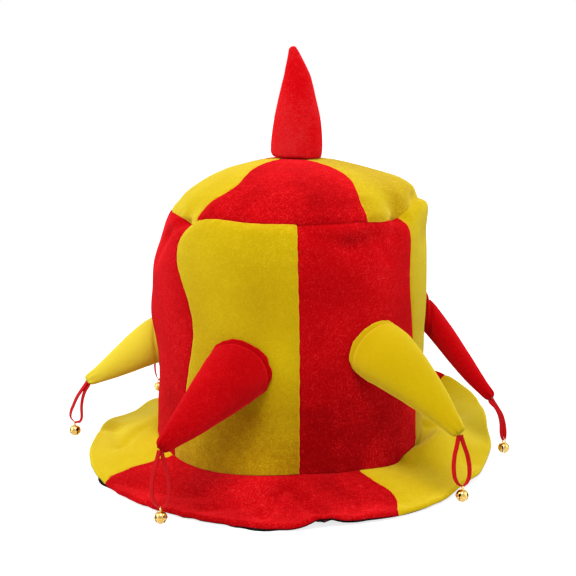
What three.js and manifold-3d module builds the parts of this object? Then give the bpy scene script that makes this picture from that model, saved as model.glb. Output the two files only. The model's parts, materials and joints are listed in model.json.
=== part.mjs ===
// A plush clown hat: a tall round crown of six panels under a dome of four gores,
// a wavy four-piece brim faced in black, seven stuffed horns, and a bell on each side horn.
// Millimetres, +Z up. The hat's front faces -Y. Azimuths are degrees from the front towards +X.
import * as THREE from 'three';
import { mergeVertices } from 'three/addons/utils/BufferGeometryUtils.js';
import Module from 'manifold-3d';

const wasm = await Module();
wasm.setup();

// Driving dimensions
const CLOTH = 2.5;
const FACING = 1.5;
const GAP = 0.3;
const CUT_DEPTH = 30;
const RIM_RADIUS = 147;
const HEAD_RADIUS = 95;
const CROWN_RADIUS = 97.5;
const BRIM_HEIGHT = 14.6;
const RIBBON_WIDTH = 3;
const RIBBON_THICKNESS = 1;
const BELL_RADIUS = 4;
const BELL_WALL = 0.6;
const BELL_SLIT = { length: 6.5, width: 0.9, top: -0.85 };
const LOOP_RADIUS = 1.7;
const LOOP_WIRE = 0.8;
const LOOP_HEIGHT = BELL_RADIUS + LOOP_RADIUS - LOOP_WIRE;

// Mesh steps
const PANEL_STEPS = { across: 8, up: 9 };
const GORE_STEPS = { across: 8, up: 6 };
const BRIM_STEPS = { across: 11, out: 5 };
const HORN_STEPS = { round: 12, along: 10 };
const RIBBON_STEPS = { round: 8, along: 16 };

const RED = { color: 0xc80a12, roughness: 0.85, metalness: 0 };
const YELLOW = { color: 0xe8c81a, roughness: 0.85, metalness: 0 };
const BLACK = { color: 0x0c0c0e, roughness: 0.9, metalness: 0 };
const SATIN = { color: 0xb5101a, roughness: 0.45, metalness: 0 };
const BRASS = { color: 0xd8a640, roughness: 0.25, metalness: 1 };

// Meridian of the outer cloth, from the brim seam up over the shoulder to the crown of the dome
const MERIDIAN = [
  { radius: CROWN_RADIUS, height: BRIM_HEIGHT + GAP },
  { radius: 96.8, height: 45 },
  { radius: 97.2, height: 85 },
  { radius: 98, height: 122 },
  { radius: 97.4, height: 152 },
  { radius: 95.4, height: 170 },
  { radius: 91, height: 181.5 },
  { radius: 84, height: 188 },
  { radius: 76, height: 194.8 },
  { radius: 66, height: 200.8 },
  { radius: 54, height: 206 },
  { radius: 38, height: 210.6 },
  { radius: 20, height: 213.4 },
  { radius: 1.5, height: 214.5 },
];
const TOP_SEAM_ROW = 6;
const HALF_SEAM = 0.0011;

// Soft dents (depth inwards) and bulges (negative depth) in the crown and dome
const DENTS = [
  { azimuth: -88, height: 66, spanAz: 16, spanUp: 20, depth: 2.6 },
  { azimuth: -88, height: 104, spanAz: 14, spanUp: 16, depth: -2.4 },
  { azimuth: -84, height: 178, spanAz: 24, spanUp: 13, depth: 7 },
  { azimuth: -84, height: 160, spanAz: 24, spanUp: 14, depth: 4.8 },
  { azimuth: -110, height: 197, spanAz: 38, spanUp: 15, depth: 6 },
  { azimuth: -50, height: 181, spanAz: 7, spanUp: 9, depth: 4 },
  { azimuth: 55, height: 182, spanAz: 7, spanUp: 8, depth: 6 },
  { azimuth: 84, height: 184, spanAz: 15, spanUp: 12, depth: -5 },
  { azimuth: 86, height: 182, spanAz: 16, spanUp: 7, depth: -1.5 },
  { azimuth: 86, height: 166, spanAz: 14, spanUp: 10, depth: -1 },
  { azimuth: 100, height: 194, spanAz: 34, spanUp: 9, depth: -4 },
  { azimuth: 18, height: 140, spanAz: 10, spanUp: 40, depth: 1.5 },
  { azimuth: 150, height: 176, spanAz: 18, spanUp: 14, depth: 4 },
];

// Crown panels, each from its seam to the next one round
const PANELS = [
  { name: 'front_left', seam: -46, next: 3.7, cloth: YELLOW },
  { name: 'front_right', seam: 3.7, next: 60, cloth: RED },
  { name: 'right', seam: 60, next: 121, cloth: YELLOW },
  { name: 'back_right', seam: 121, next: 181, cloth: RED },
  { name: 'back_left', seam: 181, next: 238, cloth: YELLOW },
  { name: 'left', seam: 238, next: 314, cloth: RED },
];

// Sideways wander of the seams that the crown's slack pulls out of plumb
const SWAYS = [
  { seam: -46, height: 10, span: 35, turn: -10 },
  { seam: -46, height: 108, span: 28, turn: 5 },
  { seam: -46, height: 156, span: 20, turn: -5.5 },
  { seam: 3.7, height: 175, span: 50, turn: -0.9 },
  { seam: 60, height: 30, span: 45, turn: 7 },
  { seam: 60, height: 140, span: 34, turn: -4.5 },
  { seam: -43, height: 202, span: 9, turn: 9.5 },
  { seam: 34, height: 212, span: 13, turn: 13 },
];

const GORES = [
  { name: 'front', seam: -43, next: 34, cloth: RED },
  { name: 'right', seam: 34, next: 128, cloth: YELLOW },
  { name: 'back', seam: 128, next: 222, cloth: RED },
  { name: 'left', seam: 222, next: 317, cloth: YELLOW },
];

const BRIM_SEGMENTS = [
  { name: 'front', seam: -61, next: 28.5, cloth: RED },
  { name: 'right', seam: 28.5, next: 126, cloth: YELLOW },
  { name: 'back', seam: 126, next: 212, cloth: RED },
  { name: 'left', seam: 212, next: 299, cloth: YELLOW },
];

// Sideways wander of two brim seams, by share of the brim's width
const BRIM_SWAYS = [
  { seam: -61, out: 0.08, span: 0.14, turn: 4 },
  { seam: -61, out: 0.33, span: 0.12, turn: 2 },
  { seam: -61, out: 1, span: 0.12, turn: 3.2 },
  { seam: 28.5, out: 0.55, span: 0.3, turn: 2.4 },
  { seam: 28.5, out: 1, span: 0.15, turn: -1.2 },
];

// Waves of the brim's edge: how far each one lifts it off the floor and draws it out
const WAVES = [
  { azimuth: -4, span: 10, lift: 0, reach: 2.5 },
  { azimuth: 8, span: 4, lift: 5.5, reach: 0 },
  { azimuth: 17, span: 9, lift: 1.8, reach: -1.2 },
  { azimuth: 54, span: 11, lift: 3.5, reach: -1.5 },
  { azimuth: 73, span: 9, lift: 0, reach: -2.5 },
  { azimuth: 96, span: 8, lift: 0, reach: -1.8 },
  { azimuth: 116, span: 22, lift: 0, reach: 15 },
  { azimuth: 136, span: 30, lift: 26, reach: 0 },
  { azimuth: -48, span: 12, lift: 0, reach: 1 },
  { azimuth: -104, span: 8, lift: 2.2, reach: 0.8 },
  { azimuth: -117, span: 7, lift: 0, reach: -5 },
  { azimuth: -132, span: 9, lift: 2, reach: 1 },
];

// How the waves die away from the edge to the crown
const WAVE_POWER = 2.2;

// Height of the brim's upper face across its width: level under the crown, lying flat at the edge
const BRIM_PROFILE = [
  { out: 0, rise: 1 },
  { out: 0.06, rise: 0.99 },
  { out: 0.2, rise: 0.84 },
  { out: 0.4, rise: 0.54 },
  { out: 0.6, rise: 0.25 },
  { out: 0.8, rise: 0 },
  { out: 1, rise: 0 },
];

// Half width of a stuffed side horn along its length, with the hem's groove near the base
const HORN_SECTIONS = [
  { along: 0, half: 21.8 },
  { along: 0.14, half: 21.8 },
  { along: 0.19, half: 20.8 },
  { along: 0.3, half: 20.5 },
  { along: 0.5, half: 17 },
  { along: 0.7, half: 12.6 },
  { along: 0.86, half: 9 },
  { along: 0.95, half: 6.6 },
  { along: 1, half: 3 },
];
const HORN_ROOT = 8;
const HORN_BEND = 0.6;
const TIP_REACH = 6;

// Side horns: where each base sits, its thickness as a share of its width at base and tip, the roll of
// that flattening, how far the horn stands out before it droops, its tip and bell, and the ribbon's
// half spread, its turn about the plumb line and how far it bows outwards
const HORNS = [
  {
    name: 'front_left', cloth: RED, azimuth: -19, height: 87,
    flat: 0.86, tipFlat: 0.96, roll: 33, stand: 12, arch: -2,
    tip: [-78, -150, 54.5], bell: [-78.6, -151, 10.4],
    spread: 6.5, turn: 0, bow: 0,
  },
  {
    name: 'front_right', cloth: YELLOW, azimuth: 34, height: 98.5,
    flat: 0.74, tipFlat: 0.94, roll: -37, stand: 13, arch: 5.5,
    tip: [105, -130, 56.5], bell: [107.5, -131, 16],
    spread: 5, turn: 10, bow: 0,
  },
  {
    name: 'right', cloth: RED, azimuth: 100, height: 105,
    flat: 0.36, tipFlat: 0.7, roll: 38, stand: 5, arch: -7,
    tip: [144, -28, 46], bell: [153.2, -31, 9.6],
    spread: 2.2, turn: 25, bow: 2.5,
  },
  {
    name: 'back_right', cloth: YELLOW, azimuth: 152, height: 96,
    flat: 0.9, tipFlat: 0.85, roll: 0, stand: 14, arch: 4,
    tip: [76, 150, 50], bell: [77, 153, 12],
    spread: 5, turn: 60, bow: 0,
  },
  {
    name: 'back_left', cloth: RED, azimuth: 207, height: 94,
    flat: 0.9, tipFlat: 0.85, roll: 0, stand: 14, arch: 3,
    tip: [-110.5, 100, 45], bell: [-109, 101, 13.4],
    spread: 3, turn: -30, bow: 0,
  },
  {
    name: 'left', cloth: YELLOW, azimuth: 253, height: 78.5,
    flat: 0.84, tipFlat: 0.74, roll: 0, stand: 8, arch: -3.5,
    tip: [-147.5, -10, 53], bell: [-157.6, -10, 15.2],
    spread: 3.5, turn: -10, bow: 2,
  },
];

// One strand of a ribbon from the horn's tip to the bell's loop: how far down, and how much of its spread
const RIBBON_STRAND = [
  { down: 0.15, across: 0.5 },
  { down: 0.35, across: 0.85 },
  { down: 0.58, across: 1 },
  { down: 0.8, across: 0.82 },
  { down: 0.94, across: 0.42 },
];
const RIBBON_ROOT = 1.1;
const RIBBON_PINCH = { span: 0.12, width: 0.62, thickness: 0.3 };

// Top horn: half widths and sideways lean at heights above the dome
const TOP_HORN = [
  { height: 208, halfWide: 16.8, halfDeep: 14.2, lean: 4.7 },
  { height: 218, halfWide: 18.2, halfDeep: 15, lean: 4.7 },
  { height: 226, halfWide: 18.1, halfDeep: 15, lean: 4.8 },
  { height: 234, halfWide: 17.2, halfDeep: 14.4, lean: 5 },
  { height: 244, halfWide: 15.8, halfDeep: 13.2, lean: 5.2 },
  { height: 254, halfWide: 13.6, halfDeep: 11.4, lean: 5.1 },
  { height: 264, halfWide: 11, halfDeep: 9.4, lean: 5.1 },
  { height: 271, halfWide: 9.2, halfDeep: 7.9, lean: 5 },
  { height: 279, halfWide: 6.6, halfDeep: 6, lean: 3.9 },
  { height: 284, halfWide: 4.9, halfDeep: 4.6, lean: 3.1 },
  { height: 288.5, halfWide: 3.3, halfDeep: 3.2, lean: 2.3 },
  { height: 291, halfWide: 1.6, halfDeep: 1.6, lean: 2 },
];

const radians = THREE.MathUtils.degToRad;

// A smooth hump of height 1 at distance 0
const hump = (distance, span) => Math.exp(-((distance / span) ** 2));

// Difference of two azimuths, between -180 and 180
const turnBetween = (a, b) => THREE.MathUtils.euclideanModulo(a - b + 180, 360) - 180;

const onCircle = (radius, azimuth, height) => new THREE.Vector3(
  radius * Math.sin(radians(azimuth)),
  -radius * Math.cos(radians(azimuth)),
  height,
);

// Value of one column of a table at a place along another, joined by straight lines
function readTable(rows, key, column, place) {
  const last = rows.length - 2;
  let i = rows.findIndex((row, n) => n <= last && place <= rows[n + 1][key]);
  if (i < 0) i = last;
  const [from, to] = [rows[i], rows[i + 1]];
  const share = THREE.MathUtils.clamp((place - from[key]) / (to[key] - from[key]), 0, 1);
  return THREE.MathUtils.lerp(from[column], to[column], share);
}

// Outer face of the crown and dome, by azimuth and share of the meridian
const meridian = new THREE.SplineCurve(MERIDIAN.map((row) => new THREE.Vector2(row.radius, row.height)));
const TOP_SEAM = TOP_SEAM_ROW / (MERIDIAN.length - 1);

function bodyPoint(azimuth, share) {
  const { x: radius, y: height } = meridian.getPoint(share);
  const tangent = meridian.getTangent(share);
  let dent = 0;
  for (const row of DENTS) {
    const away = turnBetween(azimuth, row.azimuth);
    dent += row.depth * hump(away, row.spanAz) * hump(height - row.height, row.spanUp);
  }
  return onCircle(radius - dent * tangent.y, azimuth, height + dent * tangent.x);
}

// Outward direction of the undented face, in the plane of its azimuth
function bodyNormal(azimuth, share) {
  const tangent = meridian.getTangent(share);
  return onCircle(tangent.y, azimuth, -tangent.x);
}

// Azimuth of a crown seam at a height
function seamAt(seam, height) {
  let azimuth = seam;
  for (const row of SWAYS) {
    if (Math.abs(turnBetween(row.seam, seam)) < 1) azimuth += row.turn * hump(height - row.height, row.span);
  }
  return azimuth;
}

// Azimuth of a brim seam at a share of the brim's width
function brimSeamAt(seam, out) {
  let azimuth = seam;
  for (const row of BRIM_SWAYS) {
    if (Math.abs(turnBetween(row.seam, seam)) < 1) azimuth += row.turn * hump(out - row.out, row.span);
  }
  return azimuth;
}

// Upper face of the brim, by azimuth and share of its width
function brimPoint(azimuth, out) {
  let lift = 0;
  let reach = 0;
  for (const wave of WAVES) {
    const size = hump(turnBetween(azimuth, wave.azimuth), wave.span);
    lift += wave.lift * size;
    reach += wave.reach * size;
  }
  const edge = CLOTH + GAP + FACING;
  const rise = readTable(BRIM_PROFILE, 'out', 'rise', out);
  const radius = THREE.MathUtils.lerp(HEAD_RADIUS, RIM_RADIUS + reach, out);
  return onCircle(radius, azimuth, edge + (BRIM_HEIGHT - edge) * rise + lift * out ** WAVE_POWER);
}

// The cloth under the brim's upper face, pressed flat where it meets the floor
function underBrim(azimuth, out, depth) {
  const point = brimPoint(azimuth, out);
  point.z = Math.max(point.z - depth, 0);
  return point;
}

// A slab of cloth: a box whose length and width follow place(u, v, side), side 1 outer and 0 inner
function cloth(steps, rows, place) {
  const slab = new THREE.BoxGeometry(1, 1, 1, steps, rows, 1);
  const at = slab.attributes.position;
  for (let i = 0; i < at.count; i += 1) {
    const point = place(at.getX(i) + 0.5, at.getY(i) + 0.5, at.getZ(i) + 0.5);
    at.setXYZ(i, point.x, point.y, point.z);
  }
  return slab;
}

// Part of the crown or dome between two seams, from an inner to an outer offset of its face
function bodyCloth(piece, steps, low, high, inner, outer) {
  const margin = THREE.MathUtils.radToDeg(GAP / 2);
  return cloth(steps.across, steps.up, (u, v, side) => {
    const share = THREE.MathUtils.lerp(low, high, v);
    const { x: radius, y: height } = meridian.getPoint(share);
    const from = seamAt(piece.seam, height) + margin / radius;
    const to = seamAt(piece.next, height) - margin / radius;
    const azimuth = THREE.MathUtils.lerp(from, to, u);
    const offset = THREE.MathUtils.lerp(inner, outer, side);
    return bodyPoint(azimuth, share).addScaledVector(bodyNormal(azimuth, share), offset);
  });
}

function panelCloth(piece, inner, outer) {
  return bodyCloth(piece, PANEL_STEPS, 0, TOP_SEAM - HALF_SEAM, inner, outer);
}

function goreCloth(piece, inner, outer) {
  return bodyCloth(piece, GORE_STEPS, TOP_SEAM + HALF_SEAM, 1, inner, outer);
}

function brimCloth(piece) {
  const margin = THREE.MathUtils.radToDeg(GAP / 2);
  return cloth(BRIM_STEPS.across, BRIM_STEPS.out, (u, v, side) => {
    const radius = THREE.MathUtils.lerp(HEAD_RADIUS, RIM_RADIUS, v);
    const from = brimSeamAt(piece.seam, v) + margin / radius;
    const to = brimSeamAt(piece.next, v) - margin / radius;
    const azimuth = THREE.MathUtils.lerp(to, from, u);
    return underBrim(azimuth, v, side > 0.5 ? 0 : CLOTH);
  });
}

// The black facing: a ring whose section runs out along its lower face and back along its upper one
function facingRing() {
  const columns = BRIM_SEGMENTS.flatMap((piece) => Array.from(
    { length: BRIM_STEPS.across },
    (_, i) => THREE.MathUtils.lerp(piece.seam, piece.next, i / BRIM_STEPS.across),
  ));
  const rows = BRIM_STEPS.out + 1;
  const section = Array.from({ length: 2 * rows + 1 }, (_, i) => {
    const step = i % (2 * rows);
    const lower = step < rows;
    const out = (lower ? step : 2 * rows - 1 - step) / BRIM_STEPS.out;
    return { out, depth: CLOTH + GAP + (lower ? FACING : 0) };
  });
  const flat = section.map((row) => new THREE.Vector2(HEAD_RADIUS + row.out, -row.depth));
  const ring = new THREE.LatheGeometry(flat, columns.length);
  const at = ring.attributes.position;
  for (let i = 0; i < at.count; i += 1) {
    const { out, depth } = section[i % section.length];
    const azimuth = columns[Math.floor(i / section.length) % columns.length];
    const point = underBrim(azimuth, out, depth);
    at.setXYZ(i, point.x, point.y, point.z);
  }
  return ring;
}

// A closed tube of round section that follows place(x, z, along), x and z on the section, along 0 to 1
function tube(steps, place) {
  const bar = new THREE.CylinderGeometry(1, 1, 1, steps.round, steps.along);
  const at = bar.attributes.position;
  for (let i = 0; i < at.count; i += 1) {
    const point = place(at.getX(i), at.getZ(i), 0.5 - at.getY(i));
    at.setXYZ(i, point.x, point.y, point.z);
  }
  return bar;
}

// Side and cross directions of a section whose tube runs along a tangent, rolled about it
function sectionAxes(tangent, up, roll) {
  const side = new THREE.Vector3().crossVectors(tangent, up).normalize().applyAxisAngle(tangent, -roll);
  return { side, cross: new THREE.Vector3().crossVectors(side, tangent).normalize() };
}

// Solids for joining and cutting
function solidOf(geometry) {
  const bare = geometry.clone();
  for (const name of ['normal', 'uv']) bare.deleteAttribute(name);
  const merged = mergeVertices(bare, 1e-4);
  return new wasm.Manifold(new wasm.Mesh({
    numProp: 3,
    vertProperties: new Float32Array(merged.attributes.position.array),
    triVerts: new Uint32Array(merged.index.array),
  }));
}

function geometryOf(solid) {
  const mesh = solid.getMesh();
  const geometry = new THREE.BufferGeometry();
  geometry.setAttribute('position', new THREE.BufferAttribute(new Float32Array(mesh.vertProperties), 3));
  geometry.setIndex(new THREE.BufferAttribute(new Uint32Array(mesh.triVerts), 1));
  geometry.computeVertexNormals();
  return geometry;
}

// Share of the meridian at which the wall reaches a height
function shareAtHeight(height) {
  let [low, high] = [0, TOP_SEAM];
  for (let i = 0; i < 40; i += 1) {
    const middle = (low + high) / 2;
    if (meridian.getPoint(middle).y < height) low = middle;
    else high = middle;
  }
  return low;
}

// A stuffed side horn, its base trimmed to lie on its panel
function sideHorn(row, panel) {
  const share = shareAtHeight(row.height);
  const base = bodyPoint(row.azimuth, share);
  const normal = bodyNormal(row.azimuth, share);
  const tip = new THREE.Vector3(...row.tip);
  const up = new THREE.Vector3(0, 0, 1);
  const spine = new THREE.CubicBezierCurve3(
    base.clone().addScaledVector(normal, -HORN_ROOT),
    base.clone().addScaledVector(normal, row.stand),
    base.clone().lerp(tip, HORN_BEND).addScaledVector(up, row.arch),
    tip,
  );
  const horn = tube(HORN_STEPS, (x, z, along) => {
    const { side, cross } = sectionAxes(spine.getTangent(along), up, radians(row.roll));
    const half = readTable(HORN_SECTIONS, 'along', 'half', along);
    const flat = THREE.MathUtils.lerp(row.flat, row.tipFlat, along);
    return spine.getPoint(along).addScaledVector(side, x * half).addScaledVector(cross, -z * half * flat);
  });
  return geometryOf(solidOf(horn).subtract(solidOf(panelCloth(panel, -CUT_DEPTH, GAP))));
}

// The round dome near its middle, grown by the gap, down to a level under the top horn's root
function domeMiddle() {
  const shares = [0.86, 0.92, 0.96, 1];
  const outline = shares.map((share) => meridian.getPoint(share).add(new THREE.Vector2(0, GAP)));
  const floor = outline[0].y - CUT_DEPTH;
  outline.unshift(new THREE.Vector2(0, floor), new THREE.Vector2(outline[0].x, floor));
  outline.push(new THREE.Vector2(0, outline[outline.length - 1].y));
  return new THREE.LatheGeometry(outline, 2 * HORN_STEPS.round).rotateX(Math.PI / 2);
}

// The top horn, its base trimmed to lie on the dome
function topHorn() {
  const last = TOP_HORN.length - 1;
  const horn = tube({ round: HORN_STEPS.round, along: last }, (x, z, along) => {
    const row = TOP_HORN[Math.round(along * last)];
    return new THREE.Vector3(row.lean + x * row.halfWide, z * row.halfDeep, row.height);
  });
  return geometryOf(solidOf(horn).subtract(solidOf(domeMiddle())));
}

// Middle of the upper wire of the loop on a bell
function loopWire(row) {
  const [x, y, z] = row.bell;
  return new THREE.Vector3(x, y, z + LOOP_HEIGHT + LOOP_RADIUS);
}

// The lowest point of a horn's tip, where its ribbon is sewn on
function tipOf(horn, row) {
  const at = horn.attributes.position;
  const tip = new THREE.Vector3(...row.tip);
  let low = tip.z;
  for (let i = 0; i < at.count; i += 1) {
    const point = new THREE.Vector3().fromBufferAttribute(at, i);
    if (point.distanceTo(tip) < TIP_REACH) low = Math.min(low, point.z);
  }
  return new THREE.Vector3(tip.x, tip.y, low - GAP - RIBBON_THICKNESS / 2);
}

// A ribbon doubled through the bell's loop: down one side, under the wire and up the other
function ribbonLoop(row, horn) {
  const tip = tipOf(horn, row);
  const wire = loopWire(row);
  const down = wire.clone().sub(tip).normalize();
  const turned = onCircle(1, 90 + row.turn, 0);
  const side = turned.addScaledVector(down, -turned.dot(down)).normalize();
  const cross = new THREE.Vector3().crossVectors(down, side).normalize();
  const thinnest = RIBBON_THICKNESS / 2 * (1 - RIBBON_PINCH.thickness);
  const turnRadius = LOOP_WIRE / 2 + GAP + thinnest;
  const away = new THREE.Vector3(tip.x, tip.y, 0).normalize();
  const at = (share, across) => tip.clone().lerp(wire, share)
    .addScaledVector(side, across)
    .addScaledVector(away, row.bow * Math.sin(Math.PI * share));
  const strand = (hand) => [
    at(0, hand * RIBBON_ROOT),
    ...RIBBON_STRAND.map((step) => at(step.down, hand * step.across * row.spread)),
    at(1, hand * turnRadius),
  ];
  const bottom = wire.clone().addScaledVector(down, turnRadius);
  const route = new THREE.CatmullRomCurve3([...strand(-1), bottom, ...strand(1).reverse()]);
  return tube(RIBBON_STEPS, (x, z, along) => {
    const flat = new THREE.Vector3().crossVectors(cross, route.getTangent(along)).normalize();
    const pinch = hump(along - 0.5, RIBBON_PINCH.span);
    const wide = RIBBON_WIDTH / 2 * (1 - RIBBON_PINCH.width * pinch);
    const thick = RIBBON_THICKNESS / 2 * (1 - RIBBON_PINCH.thickness * pinch);
    return route.getPoint(along).addScaledVector(cross, z * wide).addScaledVector(flat, x * thick);
  });
}

// A jingle bell: a thin round shell slit crosswise from below, with a wire loop on top
function bell() {
  const shell = new THREE.SphereGeometry(BELL_RADIUS, 10, 7).rotateX(Math.PI / 2);
  const hollow = new THREE.SphereGeometry(BELL_RADIUS - BELL_WALL, 8, 5).rotateX(Math.PI / 2);
  const slit = new THREE.BoxGeometry(BELL_SLIT.length, BELL_SLIT.width, BELL_RADIUS)
    .translate(0, 0, BELL_SLIT.top - BELL_RADIUS / 2);
  const crossed = slit.clone().rotateZ(Math.PI / 2);
  const loop = new THREE.TorusGeometry(LOOP_RADIUS, LOOP_WIRE / 2, 5, 8)
    .rotateX(Math.PI / 2)
    .translate(0, 0, LOOP_HEIGHT);
  const body = solidOf(shell).add(solidOf(loop));
  return geometryOf([hollow, slit, crossed].reduce((rest, cut) => rest.subtract(solidOf(cut)), body));
}

// The hat
const hat = new THREE.Group();
const dangles = new THREE.Group();

function addMesh(group, name, geometry, finish) {
  const mesh = new THREE.Mesh(geometry, new THREE.MeshStandardMaterial(finish));
  mesh.name = name;
  group.add(mesh);
  return mesh;
}

for (const piece of PANELS) {
  addMesh(hat, `crown_panel_${piece.name}`, panelCloth(piece, -CLOTH, 0), piece.cloth);
}
for (const piece of GORES) {
  addMesh(hat, `top_gore_${piece.name}`, goreCloth(piece, -CLOTH, 0), piece.cloth);
}
for (const piece of BRIM_SEGMENTS) {
  addMesh(hat, `brim_segment_${piece.name}`, brimCloth(piece), piece.cloth);
}
addMesh(hat, 'brim_facing', facingRing(), BLACK);
addMesh(hat, 'top_horn', topHorn(), RED);
for (const row of HORNS) {
  const horn = sideHorn(row, PANELS.find((panel) => panel.name === row.name));
  addMesh(hat, `horn_${row.name}`, horn, row.cloth);
  addMesh(dangles, `ribbon_${row.name}`, ribbonLoop(row, horn), SATIN);
  const drop = addMesh(dangles, `bell_${row.name}`, bell(), BRASS);
  drop.position.set(...row.bell);
  drop.rotation.z = radians(90 + row.turn);
}

// The origin is on the floor under the middle of the hat without its ribbons and bells
const box = new THREE.Box3().setFromObject(hat);
const middle = box.getCenter(new THREE.Vector3());
hat.add(dangles);
hat.position.set(-middle.x, -middle.y, -box.min.z);

export default hat;
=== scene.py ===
# %% [markdown]
# # A plush clown hat
# The hat is sewn from red and yellow velour: six panels round a tall crown, four gores over a low dome,
# and a wavy four-piece brim with a black facing under it. Seven stuffed horns stand on it, and six of
# them carry a small gold bell on a loop of satin ribbon.
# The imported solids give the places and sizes. Here each of them gets the cloth, seams, folds and
# stuffing of the real hat, and stays where its solid is.

# %% Load the frame
import json
import math

import bpy
import numpy as np
from mathutils import Matrix, Vector

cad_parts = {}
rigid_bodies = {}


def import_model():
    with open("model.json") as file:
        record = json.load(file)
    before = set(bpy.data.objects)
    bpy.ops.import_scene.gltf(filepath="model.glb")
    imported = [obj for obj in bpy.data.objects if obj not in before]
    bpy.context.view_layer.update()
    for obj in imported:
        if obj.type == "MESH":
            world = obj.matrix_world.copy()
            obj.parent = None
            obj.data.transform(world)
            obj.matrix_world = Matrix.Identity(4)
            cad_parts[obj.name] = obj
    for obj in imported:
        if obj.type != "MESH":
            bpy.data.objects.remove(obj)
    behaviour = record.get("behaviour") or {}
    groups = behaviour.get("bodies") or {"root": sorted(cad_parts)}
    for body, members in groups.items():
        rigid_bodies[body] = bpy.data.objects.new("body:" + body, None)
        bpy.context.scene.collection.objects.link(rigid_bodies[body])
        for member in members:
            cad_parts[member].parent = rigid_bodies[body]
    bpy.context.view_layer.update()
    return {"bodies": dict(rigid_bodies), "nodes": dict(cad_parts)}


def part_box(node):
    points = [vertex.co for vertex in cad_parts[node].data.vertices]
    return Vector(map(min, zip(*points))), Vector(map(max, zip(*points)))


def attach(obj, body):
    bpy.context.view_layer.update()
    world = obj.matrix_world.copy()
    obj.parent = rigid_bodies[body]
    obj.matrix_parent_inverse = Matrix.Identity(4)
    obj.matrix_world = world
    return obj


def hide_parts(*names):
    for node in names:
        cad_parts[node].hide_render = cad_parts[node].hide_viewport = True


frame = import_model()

kept = set(frame["nodes"].values()) | set(frame["bodies"].values())
for leftover in [thing for thing in bpy.data.objects if thing not in kept]:
    bpy.data.objects.remove(leftover)
bpy.ops.object.select_all(action="DESELECT")
print("nodes in the frame:", len(frame["nodes"]))

# %% [markdown]
# ## The hat's own axis
# The frame's origin lies under the middle of the hat's box, and the crown's axis stands a little beside
# it. All shapes below are worked out in millimetres about that axis, because round cloth is easiest to
# think of as an azimuth and a height. Azimuths run from the front towards the viewer's right. One bell,
# whose place about the axis is known, shows where the axis is in the frame.

# %% Find the axis
MM = 0.001
BELL_FRONT_LEFT = (-78.6, -151.0)

bell_low, bell_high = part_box("bell_front_left")
HAT_AXIS = np.array([
    (bell_low.x + bell_high.x) / 2 - BELL_FRONT_LEFT[0] * MM,
    (bell_low.y + bell_high.y) / 2 - BELL_FRONT_LEFT[1] * MM,
    0.0,
])


def to_frame(points):
    """Millimetres about the hat's axis, as metres in the frame."""
    return np.asarray(points, float) * MM + HAT_AXIS


def from_frame(points):
    """Metres in the frame, as millimetres about the hat's axis."""
    return (np.asarray(points, float) - HAT_AXIS) / MM


def on_circle(radius, azimuth, height):
    """Points at a radius from the axis, an azimuth in degrees and a height."""
    turn = np.radians(azimuth)
    point = np.broadcast_arrays(radius * np.sin(turn), -radius * np.cos(turn), height)
    return np.stack(point, axis=-1)


print("axis in the frame, mm:", np.round(HAT_AXIS / MM, 3))

# %% [markdown]
# ## Camera, light and floor
# The photo is taken from the front, from a little above the hat's middle, with a lens of moderate length.
# The light is that of a white photo tent. Its left wall glows most, then its right and back walls, and its
# roof only a little, and a small softbox hangs above the hat's front. Four broad suns and an area light
# make that. The tent is wholly white to the camera and partly white in the mirror of a bell, but it lights
# the hat only weakly, and more from above than from the side. The floor is a plain pale sheet that glows
# for the camera, so that it fades into the photo's white and still takes the hat's soft shadow.

# %% Camera
CAMERA_PLACE = (-1.3, -759.0, 287.0)
CAMERA_PITCH = 12.42
FOCAL_PIXELS = 1075
IMAGE_PIXELS = 576
SENSOR = 36.0

bpy.ops.object.camera_add(
    location=to_frame(CAMERA_PLACE),
    rotation=(math.radians(90 - CAMERA_PITCH), 0, 0),
)
camera = bpy.context.object
camera.data.sensor_width = SENSOR
camera.data.lens = SENSOR * FOCAL_PIXELS / IMAGE_PIXELS
bpy.context.scene.camera = camera
print("lens, mm:", round(camera.data.lens, 2))

# %% Lights
# name, direction it comes from, spread in degrees, strength
SUNS = [
    ("tent_roof", (-0.12, -0.10, 1.0), 50, 0.2),
    ("tent_left", (-1.0, -0.15, 0.55), 50, 1.45),
    ("tent_right", (1.0, -0.20, 0.55), 50, 0.9),
    ("tent_back", (0.0, 1.0, 0.2), 50, 0.8),
]
KEY_PLACE = (-0.02, -0.46, 0.74)
KEY_SIZE = 0.3
KEY_POWER = 3.1
KEY_TARGET = Vector((0, 0, 0.2))

for sun_name, sun_from, spread, strength in SUNS:
    bpy.ops.object.light_add(type="SUN", location=sun_from)
    sun = bpy.context.object
    sun.name = sun_name
    sun.data.energy = strength
    sun.data.angle = math.radians(spread)
    sun.rotation_euler = Vector(sun_from).to_track_quat("Z", "Y").to_euler()
bpy.ops.object.light_add(type="AREA", location=KEY_PLACE)
key = bpy.context.object
key.name = "key"
key.data.size = KEY_SIZE
key.data.energy = KEY_POWER
key.rotation_euler = (Vector(KEY_PLACE) - KEY_TARGET).to_track_quat("Z", "Y").to_euler()
print("suns:", len(SUNS), "and", key.name)

# %% The white tent
# strength at the horizon and overhead, and how far up, from 0 to 1, it is as strong as overhead
AMBIENT = (0.16, 0.5)
AMBIENT_FULL = 0.8
BACKGROUND = 1.0
MIRRORED_WHITE = 0.6


def white_to(tree):
    """How white the tent is: wholly to the camera, partly in mirrors and not at all as a light."""
    ray = tree.nodes.new("ShaderNodeLightPath")
    mirrored = tree.nodes.new("ShaderNodeMath")
    mirrored.operation = "MULTIPLY_ADD"
    mirrored.inputs[1].default_value = MIRRORED_WHITE
    tree.links.new(ray.outputs["Is Glossy Ray"], mirrored.inputs[0])
    tree.links.new(ray.outputs["Is Camera Ray"], mirrored.inputs[2])
    return mirrored.outputs["Value"]


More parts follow.
